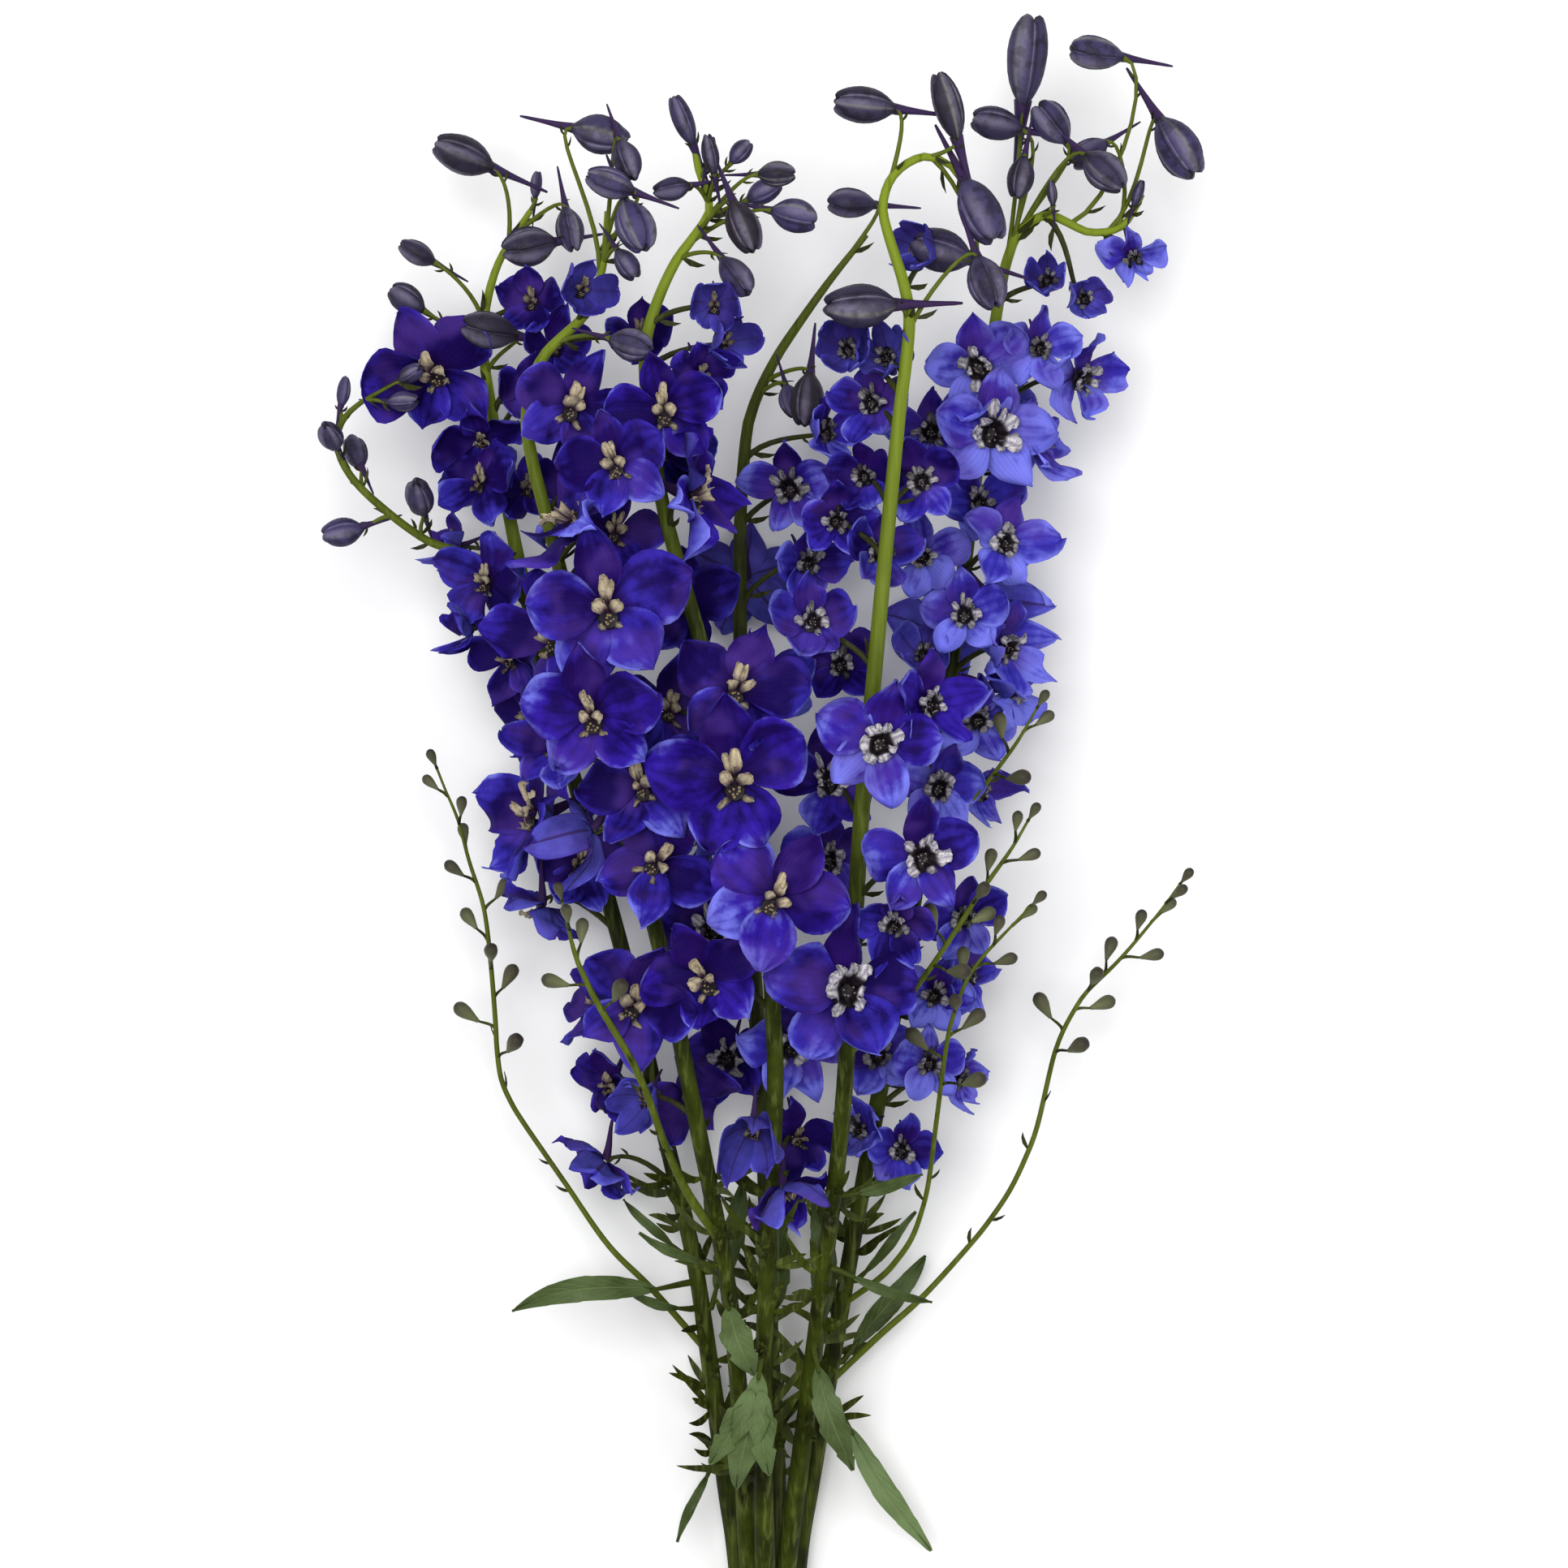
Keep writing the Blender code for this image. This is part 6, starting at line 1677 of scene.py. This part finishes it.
class Paint:
    """A material in the making, with short names for the nodes that it is built of."""

    def __init__(self, name, specular):
        self.material = bpy.data.materials.new(name)
        self.material.use_nodes = True
        self.nodes = self.material.node_tree.nodes
        self.links = self.material.node_tree.links
        self.shader = self.nodes["Principled BSDF"]
        self.shader.inputs["Specular IOR Level"].default_value = specular

    def put(self, socket, value):
        if isinstance(value, bpy.types.NodeSocket):
            self.links.new(value, socket)
        elif isinstance(value, tuple):
            socket.default_value = (*value, 1)
        else:
            socket.default_value = value

    def channels(self, name):
        """The three numbers that each point holds under this name."""
        read = self.nodes.new("ShaderNodeAttribute")
        read.attribute_name = name
        split = self.nodes.new("ShaderNodeSeparateXYZ")
        self.put(split.inputs[0], read.outputs["Vector"])
        return split.outputs

    def math(self, operation, a, b=0.0, kept=False):
        """One step of arithmetic, kept between 0 and 1 if it says so."""
        node = self.nodes.new("ShaderNodeMath")
        node.operation = operation
        node.use_clamp = kept
        self.put(node.inputs[0], a)
        self.put(node.inputs[1], b)
        return node.outputs[0]

    def times(self, a, *others):
        for other in others:
            a = self.math("MULTIPLY", a, other)
        return a

    def plus(self, a, *others):
        for other in others:
            a = self.math("ADD", a, other)
        return a

    def minus(self, a, b):
        return self.math("SUBTRACT", a, b)

    def size(self, a):
        return self.math("ABSOLUTE", a)

    def noise(self, scale, detail, stretch=None):
        node = self.nodes.new("ShaderNodeTexNoise")
        node.inputs["Scale"].default_value = scale
        node.inputs["Detail"].default_value = detail
        node.inputs["Roughness"].default_value = NOISE_ROUGH
        where = self.nodes.new("ShaderNodeTexCoord").outputs["Object"]
        if stretch:
            mapping = self.nodes.new("ShaderNodeMapping")
            mapping.inputs["Scale"].default_value = stretch
            self.put(mapping.inputs["Vector"], where)
            where = mapping.outputs[0]
        self.put(node.inputs["Vector"], where)
        return node.outputs["Fac"]

    def mix(self, share, a, b):
        node = self.nodes.new("ShaderNodeMix")
        node.data_type = "RGBA"
        self.put(node.inputs["Factor"], share)
        self.put(node.inputs[6], a)
        self.put(node.inputs[7], b)
        return node.outputs[2]

    def coats(self, colour, *layers):
        """The colour under layers, each given by how much it covers and its own colour."""
        for share, own in layers:
            colour = self.mix(share, colour, own)
        return colour

    def either(self, value, ramp, other):
        """The larger of what two ramps make of a value."""
        return self.math("MAXIMUM", self.between(value, *ramp), self.between(value, *other))

    def between(self, value, low, high, to_low=0.0, to_high=1.0):
        """The value, taken from one range to another and kept inside it."""
        node = self.nodes.new("ShaderNodeMapRange")
        node.interpolation_type = "SMOOTHSTEP"
        self.put(node.inputs["Value"], value)
        for socket, number in zip(node.inputs[1:5], (low, high, to_low, to_high)):
            socket.default_value = number
        return node.outputs[0]

    def stripes(self, across, count, sharp, waver):
        """Fine lines at even steps across, which waver with a noise."""
        phase = self.plus(self.times(across, count), self.times(waver, STRIPE_WAVER))
        return self.math("POWER", self.size(self.math("SINE", phase)), sharp)

    def finish(self, colour, height, texture, roughness, distance):
        """The material: its roughness follows a texture, and its bumps are a distance high."""
        rough = self.between(texture, *NOISE_MIDDLE, *roughness)
        bump = self.nodes.new("ShaderNodeBump")
        bump.inputs["Distance"].default_value = distance
        self.put(bump.inputs["Height"], height)
        self.put(self.shader.inputs["Base Color"], colour)
        self.put(self.shader.inputs["Roughness"], rough)
        self.put(self.shader.inputs["Normal"], bump.outputs[0])
        return self.material


def sepal_paint():
    """Blue-violet velvet with veins, blushes and paler backs.

    Painted light: lighter tips, edges and one rim, and folds painted lighter and darker. Painted
    shade darkens each sepal's foot by the throat.
    """
    paint = Paint("sepal_velvet", specular=0.04)
    along, across, seed = paint.channels("mark")
    purple, light, hue = paint.channels("look")
    cloud = paint.noise(scale=75, detail=4)
    grain = paint.noise(scale=1400, detail=2)
    side = paint.size(across)
    back = paint.between(seed, *BACK_MARKS)
    folds = paint.minus(paint.stripes(across, *SEPAL_FOLDS, cloud), SEPAL_FOLD_MIDDLE)
    veins = paint.stripes(across, *SEPAL_VEINS, cloud)
    # Painted light: tips, edges and one rim painted lighter, folds painted lighter and darker, with
    # a random tone and the flower's own painted light and shade.
    bright = paint.plus(
        paint.times(paint.minus(cloud, 0.5), SEPAL_CLOUD_LIGHT),
        paint.between(along, *SEPAL_TIP_LIGHT), paint.between(side, *SEPAL_EDGE_LIGHT),
        paint.between(across, *SEPAL_RIM_LIGHT), paint.times(folds, SEPAL_FOLD_LIGHT),
    )
    bright = paint.math("ADD", bright, light, kept=True)
    flush = paint.math("MULTIPLY", purple, paint.between(cloud, *FLUSH_CLOUDS), kept=True)
    colour = paint.coats(
        SEPAL_DEEP,
        (paint.between(bright, *DEEP_TO_FULL), paint.mix(hue, SEPAL_VIOLET, SEPAL_BLUE)),
        (paint.between(bright, *FULL_TO_BRIGHT), SEPAL_BRIGHT),
        (paint.times(flush, paint.between(along, *FLUSH_ALONG)), SEPAL_PURPLE_COLOUR),
        (paint.times(veins, paint.between(along, *VEINS_ALONG)), SEPAL_VEIN),
        (paint.between(paint.noise(scale=45, detail=2), *BLUSH_CLOUDS), SEPAL_BLUSH),
        # Painted shade at each sepal's foot, by the throat.
        (paint.between(along, *FOOT_SHADE_ALONG), SEPAL_FOOT_SHADE),
        (paint.times(back, paint.between(cloud, *BACK_CLOUDS)), SEPAL_BACK),
        (paint.times(back, paint.between(side, *BACK_RIB)), SPUR_COLOUR),
        (paint.between(purple, *SPUR_FROM), SPUR_COLOUR),
    )
    height = paint.plus(
        paint.times(grain, SEPAL_GRAIN_HEIGHT), paint.times(veins, SEPAL_VEIN_HEIGHT)
    )
    return paint.finish(colour, height, grain, roughness=(0.55, 0.7), distance=0.0002)


def bee_paint():
    """Inner petals, cream or white: streaked and stained, with a dark foot that is partly their own
    brown and partly painted shade, and the anthers.
    """
    paint = Paint("bee_petals", specular=0.25)
    along, across, _ = paint.channels("mark")
    white, shade, stamen = paint.channels("look")
    cloud = paint.noise(scale=700, detail=3)
    streak = paint.stripes(across, *BEE_STREAKS, cloud)
    pollen = paint.times(stamen, paint.between(along, *POLLEN_ALONG))
    colour = paint.coats(
        BEE_CREAM,
        (white, BEE_PALE),
        (paint.times(streak, paint.between(white, *BEE_STREAK_KIND)), BEE_STREAK),
        (paint.between(cloud, *BEE_CLOUDS), BEE_STREAK),
        # A dark foot, partly the petals' own brown and partly painted shade.
        (paint.between(along, *BEE_FOOT_ALONG), BEE_FOOT_BROWN_AND_SHADE),
        (paint.times(white, paint.between(along, *BEE_INNER)), BEE_DARK),
        # The petal's own tone, and painted shade in a young flower.
        (shade, BEE_DARK),
        (paint.times(pollen, paint.between(white, *POLLEN_KIND)), ANTHER_COLOUR),
    )
    return paint.finish(colour, cloud, cloud, roughness=(0.5, 0.65), distance=0.0002)


def bud_paint():
    """Buds: dusky violet ones with a painted highlight along their ridges and painted shade in
    their creases, and small green-brown ones.
    """
    paint = Paint("bud_skin", specular=0.16)
    along, lap, seed = paint.channels("mark")
    shade, horn, green = paint.channels("look")
    cloud = paint.noise(scale=160, detail=3)
    grain = paint.noise(scale=1500, detail=2)
    ridge, middle = (paint.size(paint.minus(lap, place)) for place in (BUD_RIDGE_MIDDLE, 0.5))
    # A painted highlight along each fold's ridge.
    lit = paint.times(
        paint.between(ridge, *BUD_RIDGE_LAP), paint.between(along, *BUD_RIDGE_ALONG),
        paint.between(cloud, *BUD_RIDGE_CLOUDS),
    )
    rib = paint.times(paint.between(middle, *BUD_RIB_LAP), paint.between(seed, *BUD_RIB_SEEDS))
    small = paint.coats(
        GREEN_BUD_FOOT,
        (paint.between(along, *GREEN_BUD_ALONG), GREEN_BUD_TIP),
        (paint.times(shade, GREEN_BUD_SHADE), GREEN_BUD_BROWN),
    )
    colour = paint.coats(
        BUD_DUSK,
        (shade, BUD_VIOLET), (lit, BUD_RIDGE_HIGHLIGHT), (rib, BUD_RIB),
        # Painted shade in the creases between the folds, then darker ends.
        (paint.either(lap, *BUD_CREASE_SHADE), BUD_DARK), (paint.either(along, *BUD_ENDS), BUD_TIP),
        (paint.between(cloud, *BUD_CLOUDS), BUD_DARK), (horn, SPUR_COLOUR), (green, small),
    )
    height = paint.plus(grain, paint.times(cloud, BUD_CLOUD_HEIGHT))
    return paint.finish(colour, height, grain, roughness=(0.45, 0.6), distance=0.0002)


def stem_paint():
    """Stems: streaked olive that turns yellow-green or violet, and the pale pith of a cut."""
    paint = Paint("stem_skin", specular=0.08)
    violet, bright, cut = paint.channels("look")
    cloud = paint.noise(scale=60, detail=3)
    streak = paint.noise(scale=420, detail=3, stretch=(1, 0.05, 1))
    stain = paint.times(violet, paint.between(streak, *STEM_VIOLET_STREAKS))
    colour = paint.coats(
        STEM_OLIVE,
        (paint.between(cloud, *STEM_CLOUDS), STEM_DARK),
        (paint.between(streak, *STEM_LIGHT_STREAKS), STEM_LIGHT),
        (bright, STEM_LIME), (stain, STEM_VIOLET_COLOUR),
        (paint.between(streak, *STEM_DARK_STREAKS), STEM_DARK), (cut, STEM_PITH),
    )
    return paint.finish(colour, streak, streak, roughness=(0.4, 0.55), distance=0.0004)


def leaf_paint():
    """Leaves: green to grey, partly their own tone and partly painted shade, with a pale rib and
    slanted veins, on olive petioles.
    """
    paint = Paint("leaf_skin", specular=0.2)
    along, across, _ = paint.channels("mark")
    shade, petiole, _ = paint.channels("look")
    cloud = paint.noise(scale=80, detail=3)
    grain = paint.noise(scale=1100, detail=2)
    side = paint.size(across)
    grey = paint.times(paint.minus(cloud, 0.5), LEAF_CLOUD_SHADE)
    # Partly the leaf's own grey, partly painted shade.
    grey = paint.math("ADD", grey, shade, kept=True)
    count, slant, sharp = LEAF_VEINS
    slanted = paint.minus(paint.times(along, count), paint.times(side, slant))
    veins = paint.math("POWER", paint.size(paint.math("SINE", slanted)), sharp)
    veins = paint.times(veins, LEAF_VEIN_SHARE)
    line = paint.math("MAXIMUM", veins, paint.between(side, *LEAF_RIB))
    colour = paint.coats(
        LEAF_GREEN,
        (grey, LEAF_GREY), (paint.times(line, LEAF_LINES), LEAF_VEIN), (petiole, STEM_OLIVE),
    )
    height = paint.minus(paint.times(grain, LEAF_GRAIN_HEIGHT), line)
    return paint.finish(colour, height, grain, roughness=(0.45, 0.62), distance=0.0003)


def band_paint():
    paint = Paint("band_rubber", specular=0.4)
    cloud = paint.noise(scale=300, detail=4)
    colour = paint.mix(cloud, BAND_TAN, BAND_BROWN)
    return paint.finish(colour, cloud, cloud, roughness=(0.55, 0.7), distance=0.0001)


def floor_paint():
    paint = Paint("pale_floor", specular=0.1)
    cloud = paint.noise(scale=3, detail=2)
    colour = paint.mix(cloud, FLOOR_COLOUR, FLOOR_OTHER)
    return paint.finish(colour, cloud, cloud, roughness=(0.9, 0.9), distance=0.0)


# The studio.

def studio():
    """The floor, the light of the sky and two lamps, and the camera that looks straight down."""
    scene = bpy.context.scene
    bpy.ops.mesh.primitive_plane_add(size=FLOOR_SIZE, location=FLOOR_PLACE)
    floor = bpy.context.object
    floor.name = "floor"
    floor.data.materials.append(floor_paint())
    world = bpy.data.worlds.new("studio")
    world.use_nodes = True
    world.node_tree.nodes["Background"].inputs["Color"].default_value = (1, 1, 1, 1)
    world.node_tree.nodes["Background"].inputs["Strength"].default_value = WORLD_STRENGTH
    scene.world = world
    for name, place, size, watts in LIGHTS:
        data = bpy.data.lights.new(name, "AREA")
        data.shape = "DISK"
        data.size = size
        data.energy = watts
        lamp = bpy.data.objects.new(name, data)
        lamp.location = place
        lamp.rotation_euler = (Vector(AIM) - Vector(place)).to_track_quat("-Z", "Y").to_euler()
        scene.collection.objects.link(lamp)
    camera = bpy.data.cameras.new("camera")
    camera.angle = 2 * math.atan(VIEW_WIDTH / 2 / VIEW_DISTANCE)
    eye = bpy.data.objects.new("camera", camera)
    eye.location = (VIEW_X, VIEW_Y, VIEW_Z + VIEW_DISTANCE)
    scene.collection.objects.link(eye)
    scene.camera = eye
    scene.view_settings.view_transform = "Standard"


# The pieces.

def main():
    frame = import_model()
    lines, flowers = plan()
    paints = {
        "sepals": sepal_paint(), "bees": bee_paint(), "buds": bud_paint(), "stems": stem_paint(),
    }
    slots = {"sepals": "sepals", "bees": "sepals", "buds": "sepals", "stems": "stems"}
    makers = {"open": open_flower, "bud": violet_bud, "green_bud": green_bud}
    for owner in [s.name for s in SPIKES] + [s.name for s in SHOOTS]:
        shapes = {part: Shape() for part in paints}
        line = lines[owner]
        if owner.startswith("spike"):
            stem(shapes, owner, line, STEM_SIDES)
            wisps(shapes, owner, line)
        else:
            shoot = next(s for s in SHOOTS if s.name == owner)
            side_shoot(shapes, shoot, lines[shoot.parent])
        for number, flower in enumerate(flowers):
            if flower.spike == owner:
                makers[flower.kind](shapes, flower, number)
                stalk(shapes, flower, line, number)
        for part, shape in shapes.items():
            if shape.points:
                nodes = [owner] if part == "stems" else []
                shape.finish(f"{owner}_{part}", paints[part], slots[part], *nodes)
    leafy = leaf_paint()
    for leaf in LEAVES:
        leaf_piece(leaf, lines[leaf.parent], leafy)
    tie_piece(band_paint())
    studio()


main()
